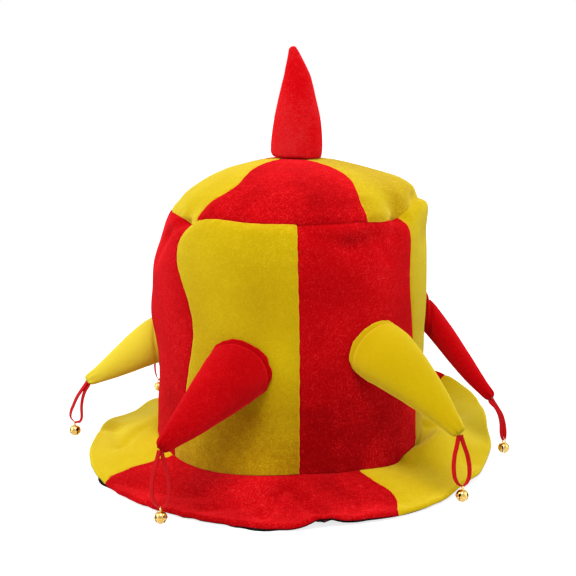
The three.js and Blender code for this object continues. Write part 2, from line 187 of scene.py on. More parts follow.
world = bpy.data.worlds.new("photo tent")
bpy.context.scene.world = world
world.use_nodes = True
sky = world.node_tree
tent = sky.nodes["Background"]
towards = sky.nodes.new("ShaderNodeTexCoord")
split = sky.nodes.new("ShaderNodeSeparateXYZ")
sky.links.new(towards.outputs["Generated"], split.inputs["Vector"])
brighter_up = sky.nodes.new("ShaderNodeMapRange")
brighter_up.inputs["From Min"].default_value = 0.0
brighter_up.inputs["From Max"].default_value = AMBIENT_FULL
brighter_up.inputs["To Min"].default_value = AMBIENT[0]
brighter_up.inputs["To Max"].default_value = AMBIENT[1]
sky.links.new(split.outputs["Z"], brighter_up.inputs["Value"])
sky.links.new(brighter_up.outputs["Result"], tent.inputs["Strength"])
tent.inputs["Color"].default_value = (1, 1, 1, 1)
backdrop = sky.nodes.new("ShaderNodeBackground")
backdrop.inputs["Strength"].default_value = BACKGROUND
backdrop.inputs["Color"].default_value = (1, 1, 1, 1)
either = sky.nodes.new("ShaderNodeMixShader")
sky.links.new(white_to(sky), either.inputs["Fac"])
sky.links.new(tent.outputs["Background"], either.inputs[1])
sky.links.new(backdrop.outputs["Background"], either.inputs[2])
sky.links.new(either.outputs["Shader"], sky.nodes["World Output"].inputs["Surface"])
bpy.context.scene.view_settings.view_transform = "Standard"
print("strength of the tent's light:", AMBIENT)

# %% The floor
FLOOR_SIZE = 8
FLOOR_DROP = 0.2
FLOOR_TONE = 0.5
FLOOR_ROUGHNESS = 0.9
FLOOR_GLOW = 0.78

bpy.ops.mesh.primitive_plane_add(size=FLOOR_SIZE, location=(0, 0, -FLOOR_DROP * MM))
floor = bpy.context.object
floor.name = "floor"
paper = bpy.data.materials.new("pale floor")
paper.use_nodes = True
sheet = paper.node_tree.nodes["Principled BSDF"]
sheet.inputs["Base Color"].default_value = (FLOOR_TONE, FLOOR_TONE, FLOOR_TONE, 1)
sheet.inputs["Roughness"].default_value = FLOOR_ROUGHNESS
sheet.inputs["Emission Color"].default_value = (1, 1, 1, 1)
glow = paper.node_tree.nodes.new("ShaderNodeMath")
glow.operation = "MULTIPLY"
glow.inputs[1].default_value = FLOOR_GLOW
paper.node_tree.links.new(white_to(paper.node_tree), glow.inputs[0])
paper.node_tree.links.new(glow.outputs["Value"], sheet.inputs["Emission Strength"])
floor.data.materials.append(paper)
print("floor, m across:", FLOOR_SIZE)

# %% [markdown]
# ## Finishes
# Velour is a knitted cloth with a dense short pile. Close up, each tuft is a bright tip over a deep,
# darker root, so the cloth is speckled, and pale glints of tip colour are painted in as highlights;
# brushed by hand, the pile lies one way here and another there, so it has soft lighter and darker patches.
# A value kept at the vertices paints light and shade into the colour: painted shade low on the crown,
# where the speckles stand out as well, under a horn and in the brim's hollow, and painted light on pieces
# that the left light makes bright, where only the bright tips show. Seams, hems and horn bases get painted
# shade, dark on red pile and orange on yellow. A stuffed horn's tight cloth has fewer flecks.
# One node group makes all of that from the place on the cloth and from values kept at its vertices, and
# both colours use it. The gloss of the pile at a slant is the shader's own sheen.

# %% Node helpers


def new_group(name, inputs, outputs):
    """A shader node group with named sockets, and its two end nodes."""
    group = bpy.data.node_groups.new(name, "ShaderNodeTree")
    for label, kind in inputs:
        group.interface.new_socket(label, in_out="INPUT", socket_type="NodeSocket" + kind)
    for label, kind in outputs:
        group.interface.new_socket(label, in_out="OUTPUT", socket_type="NodeSocket" + kind)
    return group, group.nodes.new("NodeGroupInput"), group.nodes.new("NodeGroupOutput")


def noise_node(tree, place, scale, detail, roughness=0.5, seed=0.0):
    """A noise texture on the given place, as a value about 0.5."""
    node = tree.nodes.new("ShaderNodeTexNoise")
    node.noise_dimensions = "4D"
    node.inputs["W"].default_value = seed
    node.inputs["Scale"].default_value = scale
    node.inputs["Detail"].default_value = detail
    node.inputs["Roughness"].default_value = roughness
    tree.links.new(place, node.inputs["Vector"])
    return node.outputs["Fac"]


def ranged(tree, value, low, high, new_low, new_high):
    """A value stretched from one range to another and held inside it."""
    node = tree.nodes.new("ShaderNodeMapRange")
    for label, number in zip(("From Min", "From Max", "To Min", "To Max"), (low, high, new_low, new_high)):
        node.inputs[label].default_value = number
    tree.links.new(value, node.inputs["Value"])
    return node.outputs["Result"]


def sums(tree, operation, *values):
    """A Math node on its values, each a socket or a number."""
    node = tree.nodes.new("ShaderNodeMath")
    node.operation = operation
    for socket, value in zip(node.inputs, values):
        if isinstance(value, (int, float)):
            socket.default_value = value
        else:
            tree.links.new(value, socket)
    return node.outputs["Value"]


def colour(rgb):
    """A colour with its alpha, for a socket."""
    return (*rgb, 1.0)


def mixed(tree, share, first, second):
    """A colour between two, by a share."""
    node = tree.nodes.new("ShaderNodeMix")
    node.data_type = "RGBA"
    tree.links.new(share, node.inputs["Factor"])
    for label, value in (("A", first), ("B", second)):
        socket = next(s for s in node.inputs if s.name == label and s.type == "RGBA")
        if isinstance(value, tuple):
            socket.default_value = colour(value)
        else:
            tree.links.new(value, socket)
    return next(s for s in node.outputs if s.type == "RGBA")


def coordinates(tree, place):
    """The coordinates of a place, by the names X, Y and Z."""
    node = tree.nodes.new("ShaderNodeSeparateXYZ")
    tree.links.new(place, node.inputs["Vector"])
    return node.outputs


def object_place(tree):
    """The place on the object itself."""
    return tree.nodes.new("ShaderNodeTexCoord").outputs["Object"]


def kept_number(tree, name):
    """A number kept at the vertices."""
    node = tree.nodes.new("ShaderNodeAttribute")
    node.attribute_name = name
    return node.outputs["Fac"]


def waves(tree, value, pitch):
    """Waves between -1 and 1 along a value, one for each pitch."""
    return sums(tree, "SINE", sums(tree, "MULTIPLY", value, 2 * math.pi / pitch))


def bumped(tree, shader, height, strength, distance):
    """Relief on a shader from a height."""
    bump = tree.nodes.new("ShaderNodeBump")
    bump.inputs["Strength"].default_value = strength
    bump.inputs["Distance"].default_value = distance * MM
    tree.links.new(height, bump.inputs["Height"])
    tree.links.new(bump.outputs["Normal"], shader.inputs["Normal"])


# %% The pile's layers
BRUSHED_SCALE = 27
BRUSHED_SEED = 3.0
TUFT_SCALE = 1100
CLUMP_SCALE = 300
FIBRE_SCALE = 3200
ROW_PITCH = 1.7
ROW_SHARE = 0.02
NOISE_SPAN = (0.3, 0.7)
# what each layer adds to the depth, at the low and the high end of its noise
TUFT_DEPTHS = (0.42, 0.0)
BRUSHED_DEPTHS = (0.3, -0.15)
CLUMP_DEPTHS = (0.07, -0.07)

pile, pile_in, pile_out = new_group(
    "velour pile",
    [("Place", "Vector"), ("Lit pile", "Color"), ("Deep pile", "Color"), ("Tip", "Color"),
     ("Seam pile", "Color"), ("Seam", "Float"), ("Nap and painted light", "Float"), ("Speckle", "Float"),
     ("Flecked", "Float")],
    [("Colour", "Color"), ("Roughness", "Float"), ("Height", "Float")],
)
place = pile_in.outputs["Place"]
brushed = noise_node(pile, place, BRUSHED_SCALE, detail=4, seed=BRUSHED_SEED)
tufts = noise_node(pile, place, TUFT_SCALE, detail=2, roughness=0.6)
clumps = noise_node(pile, place, CLUMP_SCALE, detail=2)
fibres = noise_node(pile, place, FIBRE_SCALE, detail=1)
rows = waves(pile, coordinates(pile, place)["Z"], ROW_PITCH * MM)
speckle = sums(pile, "ADD", tufts, sums(pile, "MULTIPLY", rows, ROW_SHARE))
layers = ranged(pile, speckle, *NOISE_SPAN, *TUFT_DEPTHS)
layers = sums(pile, "ADD", layers, ranged(pile, brushed, *NOISE_SPAN, *BRUSHED_DEPTHS))
layers = sums(pile, "ADD", layers, ranged(pile, clumps, *NOISE_SPAN, *CLUMP_DEPTHS))
print("inputs of the pile group:", len(pile_in.outputs) - 1)

# %% The pile's depth, painted light and shade, painted glints and relief
MEAN_DEPTH = 0.285
# the nap, with its painted shade, at which the speckle is strongest, and how many times as speckled it is
# there
MOST_SPECKLE_NAP = 0.4
MOST_SPECKLE = 3.0
# painted highlights: how bright a tuft with its clump has to be to glint, and how much of its tip then shows
GLINT_CLUMPS = 0.25
GLINT_SPAN = (0.64, 0.95)
GLINTS = (0.0, 0.5)
# glints are weaker where the pile is brushed down and where it lies deep
BRUSHED_SPAN = (0.4, 0.62)
BRUSHED_GLINTS = (0.5, 1.0)
DEEP_SPAN = (0.0, 0.8)
DEEP_GLINTS = (1.0, 0.4)
# the depth, above the lit pile, at which only tips show: painted light where a piece's nap is below 0
TIPS_DEPTH = -0.5
# how much of the painted shade in a seam shows
SEAM_SHADE_STRENGTH = 0.6
PILE_ROUGHNESS = (0.95, 0.75)
TUFT_RELIEF = 0.7
FIBRE_RELIEF = 0.3
CLUMP_RELIEF = 1.2

speckle_gain = ranged(pile, pile_in.outputs["Nap and painted light"], 0.0, MOST_SPECKLE_NAP, 1.0, MOST_SPECKLE)
contrast = sums(pile, "MULTIPLY", pile_in.outputs["Speckle"], speckle_gain)
contrast = sums(pile, "MULTIPLY", contrast, pile_in.outputs["Flecked"])
uneven = sums(pile, "SUBTRACT", layers, MEAN_DEPTH)
level = sums(pile, "ADD", pile_in.outputs["Nap and painted light"], MEAN_DEPTH)
laid = sums(pile, "MULTIPLY_ADD", uneven, contrast, level)
depth = ranged(pile, laid, 0.0, 1.0, 0.0, 1.0)
bare = mixed(pile, depth, pile_in.outputs["Lit pile"], pile_in.outputs["Deep pile"])
bright = sums(pile, "MULTIPLY_ADD", clumps, GLINT_CLUMPS, tufts)
painted_glint = sums(pile, "MULTIPLY", ranged(pile, bright, *GLINT_SPAN, *GLINTS), pile_in.outputs["Flecked"])
painted_glint = sums(pile, "MULTIPLY", painted_glint, ranged(pile, brushed, *BRUSHED_SPAN, *BRUSHED_GLINTS))
painted_glint = sums(pile, "MULTIPLY", painted_glint, ranged(pile, depth, *DEEP_SPAN, *DEEP_GLINTS))
# painted light: where the nap lies below 0, the colour turns to the pale tips
painted_light_tips = ranged(pile, laid, 0.0, TIPS_DEPTH, 0.0, 1.0)
tufted = mixed(pile, sums(pile, "MAXIMUM", painted_glint, painted_light_tips), bare, pile_in.outputs["Tip"])
# painted shade in the seams, from the kept seam value
painted_seam_shade = sums(pile, "MULTIPLY", pile_in.outputs["Seam"], SEAM_SHADE_STRENGTH)
pile.links.new(mixed(pile, painted_seam_shade, tufted, pile_in.outputs["Seam pile"]), pile_out.inputs["Colour"])
pile.links.new(ranged(pile, tufts, *NOISE_SPAN, *PILE_ROUGHNESS), pile_out.inputs["Roughness"])
height = sums(pile, "MULTIPLY", tufts, TUFT_RELIEF)
height = sums(pile, "MULTIPLY_ADD", fibres, FIBRE_RELIEF, height)
height = sums(pile, "MULTIPLY_ADD", clumps, CLUMP_RELIEF, height)
pile.links.new(height, pile_out.inputs["Height"])
print("nodes in the pile group:", len(pile.nodes))

# %% Red and yellow velour
# colours of lit and deep pile, of tips, of the painted shade in a seam, dark on red and orange on yellow,
# and of the sheen, and how speckled it is
VELOURS = {
    "velour_red": dict(
        lit=(0.71, 0.002, 0.005), deep=(0.36, 0.0008, 0.002), tip=(0.82, 0.10, 0.11),
        seam_shade_colour=(0.30, 0.0005, 0.001), tint=(1.0, 0.04, 0.05), speckled=1.0),
    "velour_yellow": dict(
        lit=(0.75, 0.57, 0.002), deep=(0.43, 0.20, 0.001), tip=(0.88, 0.76, 0.06),
        seam_shade_colour=(0.85, 0.44, 0.02), tint=(1.0, 0.86, 0.15), speckled=0.45),
}
PILE_RELIEF = 0.35
PILE_BUMP = 0.6
PILE_SHEEN = 0.7
SHEEN_ROUGHNESS = 0.5
FINISHES = {}


def velour(name, lit, deep, tip, seam_shade_colour, tint, speckled):
    """A velour material from its pile's colours."""
    cloth = bpy.data.materials.new(name)
    cloth.use_nodes = True
    tree = cloth.node_tree
    shader = tree.nodes["Principled BSDF"]
    nap_and_painted_light = tree.nodes.new("ShaderNodeGroup")
    nap_and_painted_light.node_tree = pile
    tree.links.new(object_place(tree), nap_and_painted_light.inputs["Place"])
    # the kept seam and nap values carry painted shade and light
    for label, kept_name in (("Seam", "seam"), ("Nap and painted light", "nap_and_painted_light"), ("Flecked", "flecked")):
        tree.links.new(kept_number(tree, kept_name), nap_and_painted_light.inputs[label])
    for label, rgb in (("Lit pile", lit), ("Deep pile", deep), ("Tip", tip), ("Seam pile", seam_shade_colour)):
        nap_and_painted_light.inputs[label].default_value = colour(rgb)
    nap_and_painted_light.inputs["Speckle"].default_value = speckled
    bumped(tree, shader, nap_and_painted_light.outputs["Height"], PILE_BUMP, PILE_RELIEF)
    tree.links.new(nap_and_painted_light.outputs["Colour"], shader.inputs["Base Color"])
    tree.links.new(nap_and_painted_light.outputs["Roughness"], shader.inputs["Roughness"])
    shader.inputs["Specular IOR Level"].default_value = 0.0
    shader.inputs["Diffuse Roughness"].default_value = 1.0
    shader.inputs["Sheen Weight"].default_value = PILE_SHEEN
    shader.inputs["Sheen Roughness"].default_value = SHEEN_ROUGHNESS
    shader.inputs["Sheen Tint"].default_value = colour(tint)
    FINISHES[name] = cloth


for velour_name, pile_colours in VELOURS.items():
    velour(velour_name, **pile_colours)
print("finishes:", sorted(FINISHES))

# %% [markdown]
# The facing is a plain woven cloth, the ribbon is satin with fine ribs across it, and the bells are thin
# brass with a gold wash that is duller in patches. A bell's inside is painted dark as shade, because
# little light gets in.

# %% Woven black
FACING_THREAD = (0.012, 0.012, 0.013)
FACING_HOLLOW = (0.003, 0.003, 0.0035)
FACING_ROUGHNESS = 0.85
FACING_GLOSS = 0.05
FACING_BUMP = 0.5
FACING_RELIEF = 0.1
THREAD_PITCH = 0.9


def plain_finish(name, rgb, rough, metal=0.0):
    """A material with a plain shader to build on, and its tree."""
    finish = bpy.data.materials.new(name)
    finish.use_nodes = True
    shader = finish.node_tree.nodes["Principled BSDF"]
    shader.inputs["Base Color"].default_value = colour(rgb)
    shader.inputs["Roughness"].default_value = rough
    shader.inputs["Metallic"].default_value = metal
    FINISHES[name] = finish
    return finish.node_tree, shader


tree, shader = plain_finish("facing_black", FACING_THREAD, FACING_ROUGHNESS)
shader.inputs["Specular IOR Level"].default_value = FACING_GLOSS
here = coordinates(tree, object_place(tree))
weft = waves(tree, here["X"], THREAD_PITCH * MM)
warp = waves(tree, here["Y"], THREAD_PITCH * MM)
weave = sums(tree, "MULTIPLY", weft, warp)
tone = mixed(tree, ranged(tree, weave, -1, 1, 0, 1), FACING_HOLLOW, FACING_THREAD)
tree.links.new(tone, shader.inputs["Base Color"])
bumped(tree, shader, weave, FACING_BUMP, FACING_RELIEF)
print("finishes:", sorted(FINISHES))

# %% Red satin
SATIN = (0.68, 0.004, 0.008)
SATIN_MIDDLE = (0.64, 0.003, 0.007)
SATIN_EDGE = (0.46, 0.002, 0.004)
SATIN_EDGE_SPAN = (0.3, 0.5)
SATIN_ROUGHNESS = 0.45
SATIN_GLOSS = 0.12
RIB_COUNT = 150
RIB_ROUGHNESS = (0.55, 0.4)
RIB_BUMP = 0.25
RIB_RELIEF = 0.05

tree, shader = plain_finish("satin_red", SATIN, SATIN_ROUGHNESS)
shader.inputs["Specular IOR Level"].default_value = SATIN_GLOSS
here = coordinates(tree, tree.nodes.new("ShaderNodeUVMap").outputs["UV"])
ribs = waves(tree, here["Y"], 1 / RIB_COUNT)
edge = sums(tree, "ABSOLUTE", sums(tree, "SUBTRACT", here["X"], 0.5))
tone = mixed(tree, ranged(tree, edge, *SATIN_EDGE_SPAN, 0.0, 1.0), SATIN_MIDDLE, SATIN_EDGE)
tree.links.new(tone, shader.inputs["Base Color"])
tree.links.new(ranged(tree, ribs, -1, 1, *RIB_ROUGHNESS), shader.inputs["Roughness"])
bumped(tree, shader, ribs, RIB_BUMP, RIB_RELIEF)
print("finishes:", sorted(FINISHES))

# %% Gold
GOLD = (0.9, 0.6, 0.2)
GOLD_BRIGHT = (0.95, 0.68, 0.22)
GOLD_DULL = (0.74, 0.44, 0.11)
# painted shade on a bell's inside
GOLD_PAINTED_SHADE_INSIDE = (0.02, 0.012, 0.005)
GOLD_ROUGHNESS = 0.2
WASH_SCALE = 420
WASH_SPAN = (0.35, 0.65)
WASH_ROUGHNESS = (0.08, 0.2)

tree, shader = plain_finish("bell_gold", GOLD, GOLD_ROUGHNESS, 1.0)
wash = noise_node(tree, object_place(tree), WASH_SCALE, detail=3)
tone = mixed(tree, ranged(tree, wash, *WASH_SPAN, 0, 1), GOLD_BRIGHT, GOLD_DULL)
# the inside gets painted shade and full roughness
inside = kept_number(tree, "inside")
tree.links.new(mixed(tree, inside, tone, GOLD_PAINTED_SHADE_INSIDE), shader.inputs["Base Color"])
rough = ranged(tree, wash, *NOISE_SPAN, *WASH_ROUGHNESS)
tree.links.new(sums(tree, "MAXIMUM", rough, inside), shader.inputs["Roughness"])
print("finishes:", sorted(FINISHES))

# %% [markdown]
# ## Small tools for pieces
# A soft piece starts as a primitive, its vertices are moved to the place that the cloth has on the hat,
# and modifiers give it thickness. These helpers read and move vertices, apply the modifiers, and hang
# each finished piece on the frame, where it hides the solid it stands for.

# %% Vertex and piece helpers


def only(piece):
    """Selects this piece alone and makes it active."""
    bpy.ops.object.select_all(action="DESELECT")
    piece.select_set(True)
    bpy.context.view_layer.objects.active = piece


def read_points(piece):
    """The vertices of a mesh, in metres."""
    flat = np.empty(len(piece.data.vertices) * 3, np.float32)
    piece.data.vertices.foreach_get("co", flat)
    return flat.reshape(-1, 3).astype(float)


def move_points(piece, points):
    """Puts the vertices at points in millimetres about the hat's axis."""
    piece.data.vertices.foreach_set("co", to_frame(points).astype(np.float32).ravel())
    piece.data.update()


def keep_value(piece, name, values):
    """Keeps one number for each vertex, for the materials."""
    layer = piece.data.attributes.get(name) or piece.data.attributes.new(name, "FLOAT", "POINT")
    layer.data.foreach_set("value", np.asarray(values, np.float32))


def add_grid(name, columns, rows):
    """A flat grid, with each vertex's share across and along it from 0 to 1."""
    bpy.ops.mesh.primitive_grid_add(x_subdivisions=columns, y_subdivisions=rows, size=1)
    piece = bpy.context.object
    piece.name = piece.data.name = name
    flat = read_points(piece) + 0.5
    return piece, flat[:, 0], flat[:, 1]


def add_modifier(piece, kind, **settings):
    """Adds one modifier with its settings and applies it."""
    only(piece)
    modifier = piece.modifiers.new(kind.lower(), kind)
    for label, value in settings.items():
        setattr(modifier, label, value)
    bpy.ops.object.modifier_apply(modifier=modifier.name)


# how much darker a piece's pile is painted than the rest, or lighter if below 0: painted light on the left
# horn and the left brim, which the light from the left makes bright; elsewhere it sets a piece's brightness
PIECE_NAPS_AND_PAINTED_LIGHT = {
    "top_horn": -0.32, "horn_left": -0.7, "horn_front_left": 0.28,
    "top_gore_front": 0.15, "top_gore_right": 0.3, "brim_segment_front": 0.15, "brim_segment_right": -0.1,
    "brim_segment_left": -0.25,
}
# how speckled the tight velour of a stuffed horn is, beside 1 for the loose cloth
HORN_FLECKS = 0.35


def finish_piece(piece, node, finish):
    """Gives a piece its finish, and stands it in for its solid."""
    if finish.startswith("velour"):
        count = len(piece.data.vertices)
        keep_value(piece, "flecked", np.full(count, HORN_FLECKS if "horn" in node else 1.0))
        if "nap_and_painted_light" not in piece.data.attributes:
            keep_value(piece, "nap_and_painted_light", np.full(count, PIECE_NAPS_AND_PAINTED_LIGHT.get(node, 0.0)))
    piece.data.materials.clear()
    piece.data.materials.append(FINISHES[finish])
    only(piece)
    bpy.ops.object.shade_smooth()
    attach(piece, "root")
    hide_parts(node)


def smooth_curve(points, share):
    """Points of a smooth curve through the given ones, by share from 0 to 1."""
    points = np.asarray(points, float)
    last = len(points) - 1
    place = np.clip(share, 0, 1) * last
    step = np.minimum(place.astype(int), last - 1)
    part = (place - step)[..., None]
    first, second = points[step], points[step + 1]
    before, after = points[np.maximum(step - 1, 0)], points[np.minimum(step + 2, last)]
    leave, arrive = (second - before) / 2, (after - first) / 2
    bend = (2 * first - 2 * second + leave + arrive) * part**3
    return bend + (3 * second - 3 * first - 2 * leave - arrive) * part**2 + leave * part + first


def hump(distance, span):
    """A smooth hump of height 1 at distance 0."""
    return np.exp(-((distance / span) ** 2))


def unit(vectors):
    """Vectors with length 1."""
    return vectors / np.linalg.norm(vectors, axis=-1, keepdims=True)


# %% [markdown]
# ## Bells and ribbons
# A jingle bell is two thin pressed cups crimped together at the middle, with a wire loop on top and two
# crossed slits that run up from below and end in round holes a little above the middle. It is modelled
# once: a sphere gets a wall, cutters take out the slits and holes, and rings make the crimped edge and the
# loop. Each ribbon hangs from the tip of its horn, goes through the bell's loop and back up. Its flat face
# turns on the way, so it looks wide here and narrow there. The photo shows four of the six whole.

# %% One jingle bell
BELL_RADIUS = 4.0
BELL_WALL = 0.5
SLIT_WIDTH = 1.0
SLIT_TOP = 1.5
HOLE_RADIUS = 0.95
LOOP_RADIUS = 1.7
LOOP_WIRE = 0.8
LOOP_HEIGHT = BELL_RADIUS + LOOP_RADIUS - LOOP_WIRE
CRIMP = 0.22

bpy.ops.mesh.primitive_uv_sphere_add(segments=40, ring_count=24, radius=BELL_RADIUS * MM)
bell = bpy.context.object
bell.name = "jingle_bell"
add_modifier(bell, "SOLIDIFY", thickness=BELL_WALL * MM, offset=-1.0)
cutters = []
for quarter in (math.pi / 4, 3 * math.pi / 4):
    bpy.ops.mesh.primitive_cube_add(
        size=MM, location=(0, 0, (SLIT_TOP - BELL_RADIUS) * MM), rotation=(0, 0, quarter))
    slit = bpy.context.object
    slit.scale = (3 * BELL_RADIUS, SLIT_WIDTH, 2 * BELL_RADIUS)
    cutters.append(slit)
    bpy.ops.mesh.primitive_cylinder_add(
        vertices=20, radius=HOLE_RADIUS * MM, depth=3 * BELL_RADIUS * MM,
        location=(0, 0, SLIT_TOP * MM), rotation=(0, math.pi / 2, quarter))
    cutters.append(bpy.context.object)
for cutter in cutters:
    add_modifier(bell, "BOOLEAN", object=cutter, operation="DIFFERENCE", solver="EXACT")
    bpy.data.objects.remove(cutter)
from_middle = np.linalg.norm(read_points(bell), axis=1)
# marks the bell's inside for its painted shade
keep_value(bell, "inside", from_middle < (BELL_RADIUS - BELL_WALL / 2) * MM)
bpy.ops.mesh.primitive_torus_add(
    major_segments=48, minor_segments=8, major_radius=BELL_RADIUS * MM, minor_radius=CRIMP * MM)
crimp = bpy.context.object
bpy.ops.mesh.primitive_torus_add(
    major_segments=28, minor_segments=10, major_radius=LOOP_RADIUS * MM, minor_radius=LOOP_WIRE / 2 * MM,
    location=(0, 0, LOOP_HEIGHT * MM), rotation=(math.pi / 2, 0, 0))
loop = bpy.context.object
only(bell)
crimp.select_set(True)
loop.select_set(True)
bpy.ops.object.join()
bpy.ops.object.shade_smooth_by_angle(angle=math.radians(40))
print("faces of a bell:", len(bell.data.polygons))

# %% Horns, ribbons and bells: places
# flat and tip_flat are the horn's thickness as a share of its width, and roll turns that flattening; full
# scales its width, pinch narrows its base and slim its tip; stand and arch bend its middle line.
# spread, turn and bow are the ribbon's half width, its turn about the plumb line and how far it bows
# outwards, and a late ribbon is widest further down.
HORNS = [
    dict(name="front_left", finish="velour_red", azimuth=-19, height=87, flat=0.86, tip_flat=0.96,
         roll=33, full=1, pinch=-0.03, slim=0.17, stand=12, arch=-2, tip=(-78, -150, 54.5),
         bell=(-78.6, -151, 10.4), spread=5.2, turn=0, bow=0, late=False),
    dict(name="front_right", finish="velour_yellow", azimuth=34, height=98.5, flat=0.74, tip_flat=0.94,
         roll=-37, full=1.03, pinch=0.08, slim=0.15, stand=13, arch=5.5, tip=(105, -130, 56.5),
         bell=(107.5, -131, 16), spread=5, turn=10, bow=0, late=False),
    dict(name="right", finish="velour_red", azimuth=100, height=105, flat=0.36, tip_flat=0.7,
         roll=38, full=1, pinch=0, slim=0, stand=5, arch=-7, tip=(144, -28, 46),
         bell=(153.2, -31, 9.6), spread=1.5, turn=25, bow=2.9, late=True),
    dict(name="back_right", finish="velour_yellow", azimuth=152, height=96, flat=0.9, tip_flat=0.85,
         roll=0, full=1, pinch=0, slim=0, stand=14, arch=4, tip=(76, 150, 50),
         bell=(77, 153, 12), spread=5, turn=60, bow=0, late=False),
    dict(name="back_left", finish="velour_red", azimuth=207, height=94, flat=0.9, tip_flat=0.85,
         roll=0, full=1, pinch=0, slim=0, stand=14, arch=3, tip=(-110.5, 100, 45),
         bell=(-109, 101, 13.4), spread=3, turn=-30, bow=0, late=False),
    dict(name="left", finish="velour_yellow", azimuth=253, height=78.5, flat=0.84, tip_flat=0.74,
         roll=0, full=1, pinch=0, slim=0.1, stand=8, arch=-3.5, tip=(-147.5, -10, 53),
         bell=(-157.6, -10, 15.2), spread=4.2, turn=-10, bow=2, late=True),
]
GAP = 0.3
TIP_REACH = 6
RIBBON_WIDTH = 2.7
RIBBON_THICKNESS = 0.45
RIBBON_ROOT = 1.1
# how far below the tip a ribbon comes out, how far up into it it goes, and how its strands close there
RIBBON_DROP = 0.5
RIBBON_TUCK = 2
TUCKED_ROOT = 0.6
TURN_RADIUS = 1.05
# share of the way down, share of the spread, and the same for a late ribbon
STRAND = [(0.15, 0.45), (0.35, 0.8), (0.58, 1.0), (0.8, 0.95), (0.94, 0.62)]
LATE_STRAND = [(0.15, 0.3), (0.35, 0.5), (0.58, 0.75), (0.8, 1.05), (0.94, 0.9)]
# how full a bow is at the top, and how much of that it loses on the way down
BOW_TOP = 1.6
BOW_LOSS = 1.2


def ribbon_route(horn):
    """The middle line of a ribbon, and its direction through the bell's loop."""
    tip = np.array(horn["tip"], float)
    solid = from_frame(read_points(frame["nodes"]["horn_" + horn["name"]]))
    near = solid[np.linalg.norm(solid - tip, axis=1) < TIP_REACH]
    top = np.array([tip[0], tip[1], near[:, 2].min() - GAP - RIBBON_DROP])
    wire = np.array(horn["bell"]) + (0, 0, LOOP_HEIGHT + LOOP_RADIUS)
    down = unit(wire - top)
    away = unit(tip * (1, 1, 0))
    turned = on_circle(1.0, 90.0 + horn["turn"], 0.0)
    side = unit(turned - turned.dot(down) * down)
    route = [[], []]
    for strand, hand in zip(route, (-1, 1)):
        strand.append(top - down * RIBBON_TUCK + side * hand * RIBBON_ROOT * TUCKED_ROOT)
        strand.append(top + side * hand * RIBBON_ROOT)
        for share, part in LATE_STRAND if horn["late"] else STRAND:
            bowed = away * horn["bow"] * math.sin(math.pi * share) * (BOW_TOP - BOW_LOSS * share)
            strand.append(top + (wire - top) * share + side * hand * part * horn["spread"] + bowed)
        strand.append(wire + side * hand * TURN_RADIUS)
    return np.array(route[0] + [wire + down * TURN_RADIUS] + route[1][::-1]), side


print("side horns:", [horn["name"] for horn in HORNS])

# %% Six ribbons with their bells
RIBBON_GRID = (4, 160)
RIBBON_STEP = 0.002
# share along the ribbon, turn of its flat face in degrees
RIBBON_TWIST = [
    (0.0, 70), (0.3, 62), (0.43, 45), (0.49, 0), (0.51, 0), (0.57, -45), (0.7, -62), (1.0, -70),
]
PINCH_SPAN = 0.12
PINCH_WIDTH = 0.62


def hang_bell(horn):
    """A copy of the bell on the end of a horn's ribbon."""
    drop = bell.copy()
    drop.data = bell.data.copy()
    bpy.context.collection.objects.link(drop)
    drop.name = drop.data.name = "jingle_bell_" + horn["name"]
    drop.data.transform(Matrix.Rotation(math.radians(90 + horn["turn"]), 4, "Z"))
    drop.data.transform(Matrix.Translation(to_frame(horn["bell"])))
    drop.data.materials.clear()
    drop.data.materials.append(FINISHES["bell_gold"])
    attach(drop, "root")
    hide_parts("bell_" + horn["name"])
    return drop


def hang_ribbon(horn):
    """One satin ribbon and its bell."""
    name = horn["name"]
    route, side = ribbon_route(horn)
    piece, across, along = add_grid("satin_ribbon_" + name, *RIBBON_GRID)
    line = smooth_curve(route, along)
    ahead = unit(smooth_curve(route, along + RIBBON_STEP) - smooth_curve(route, along - RIBBON_STEP))
    down = unit(route[len(route) // 2] - (route[0] + route[-1]) / 2)
    cross = unit(np.cross(down, side))
    face = unit(np.cross(cross, ahead))
    shares, turns = np.array(RIBBON_TWIST).T
    twist = np.radians(np.interp(along, shares, turns))[:, None]
    flat = unit(np.cross(ahead, face)) * np.cos(twist) + face * np.sin(twist)
    half = RIBBON_WIDTH / 2 * (1 - PINCH_WIDTH * hump(along - 0.5, PINCH_SPAN))
    move_points(piece, line + flat * ((across - 0.5) * 2 * half)[:, None])
    add_modifier(piece, "SOLIDIFY", thickness=RIBBON_THICKNESS * MM, offset=0.0)
    finish_piece(piece, "ribbon_" + name, "satin_red")
    drop = hang_bell(horn)


for horn in HORNS:
    hang_ribbon(horn)
bpy.data.objects.remove(bell)

# %% [markdown]
# ## The crown and dome
# Crown and dome are one turned shape, cut into panels and gores. Each is sewn to its neighbours right
# sides together and turned out, so its edge dips into the seam, and the thread draws small puckers along
# it. A person sewing would cut flat patterns; here each sheet is a grid whose columns and rows lie close
# together at the edges, where the cloth bends most. Neighbours overlap by a hair, so no light comes through
# a seam. Soft dents, puffs and folds follow the photo, and the slack crown's foot sags here and there.

# %% The crown's outer face
# radius, height
MERIDIAN = [
    (97.5, 14.9), (96.8, 45), (97.2, 85), (98, 122), (97.4, 152), (95.4, 170), (91, 181.5),
    (84, 188), (76, 194.8), (66, 200.8), (54, 206), (38, 210.6), (20, 213.4), (1.5, 214.5),
]
TOP_SEAM = 6 / 13
SHARE_STEP = 0.0005
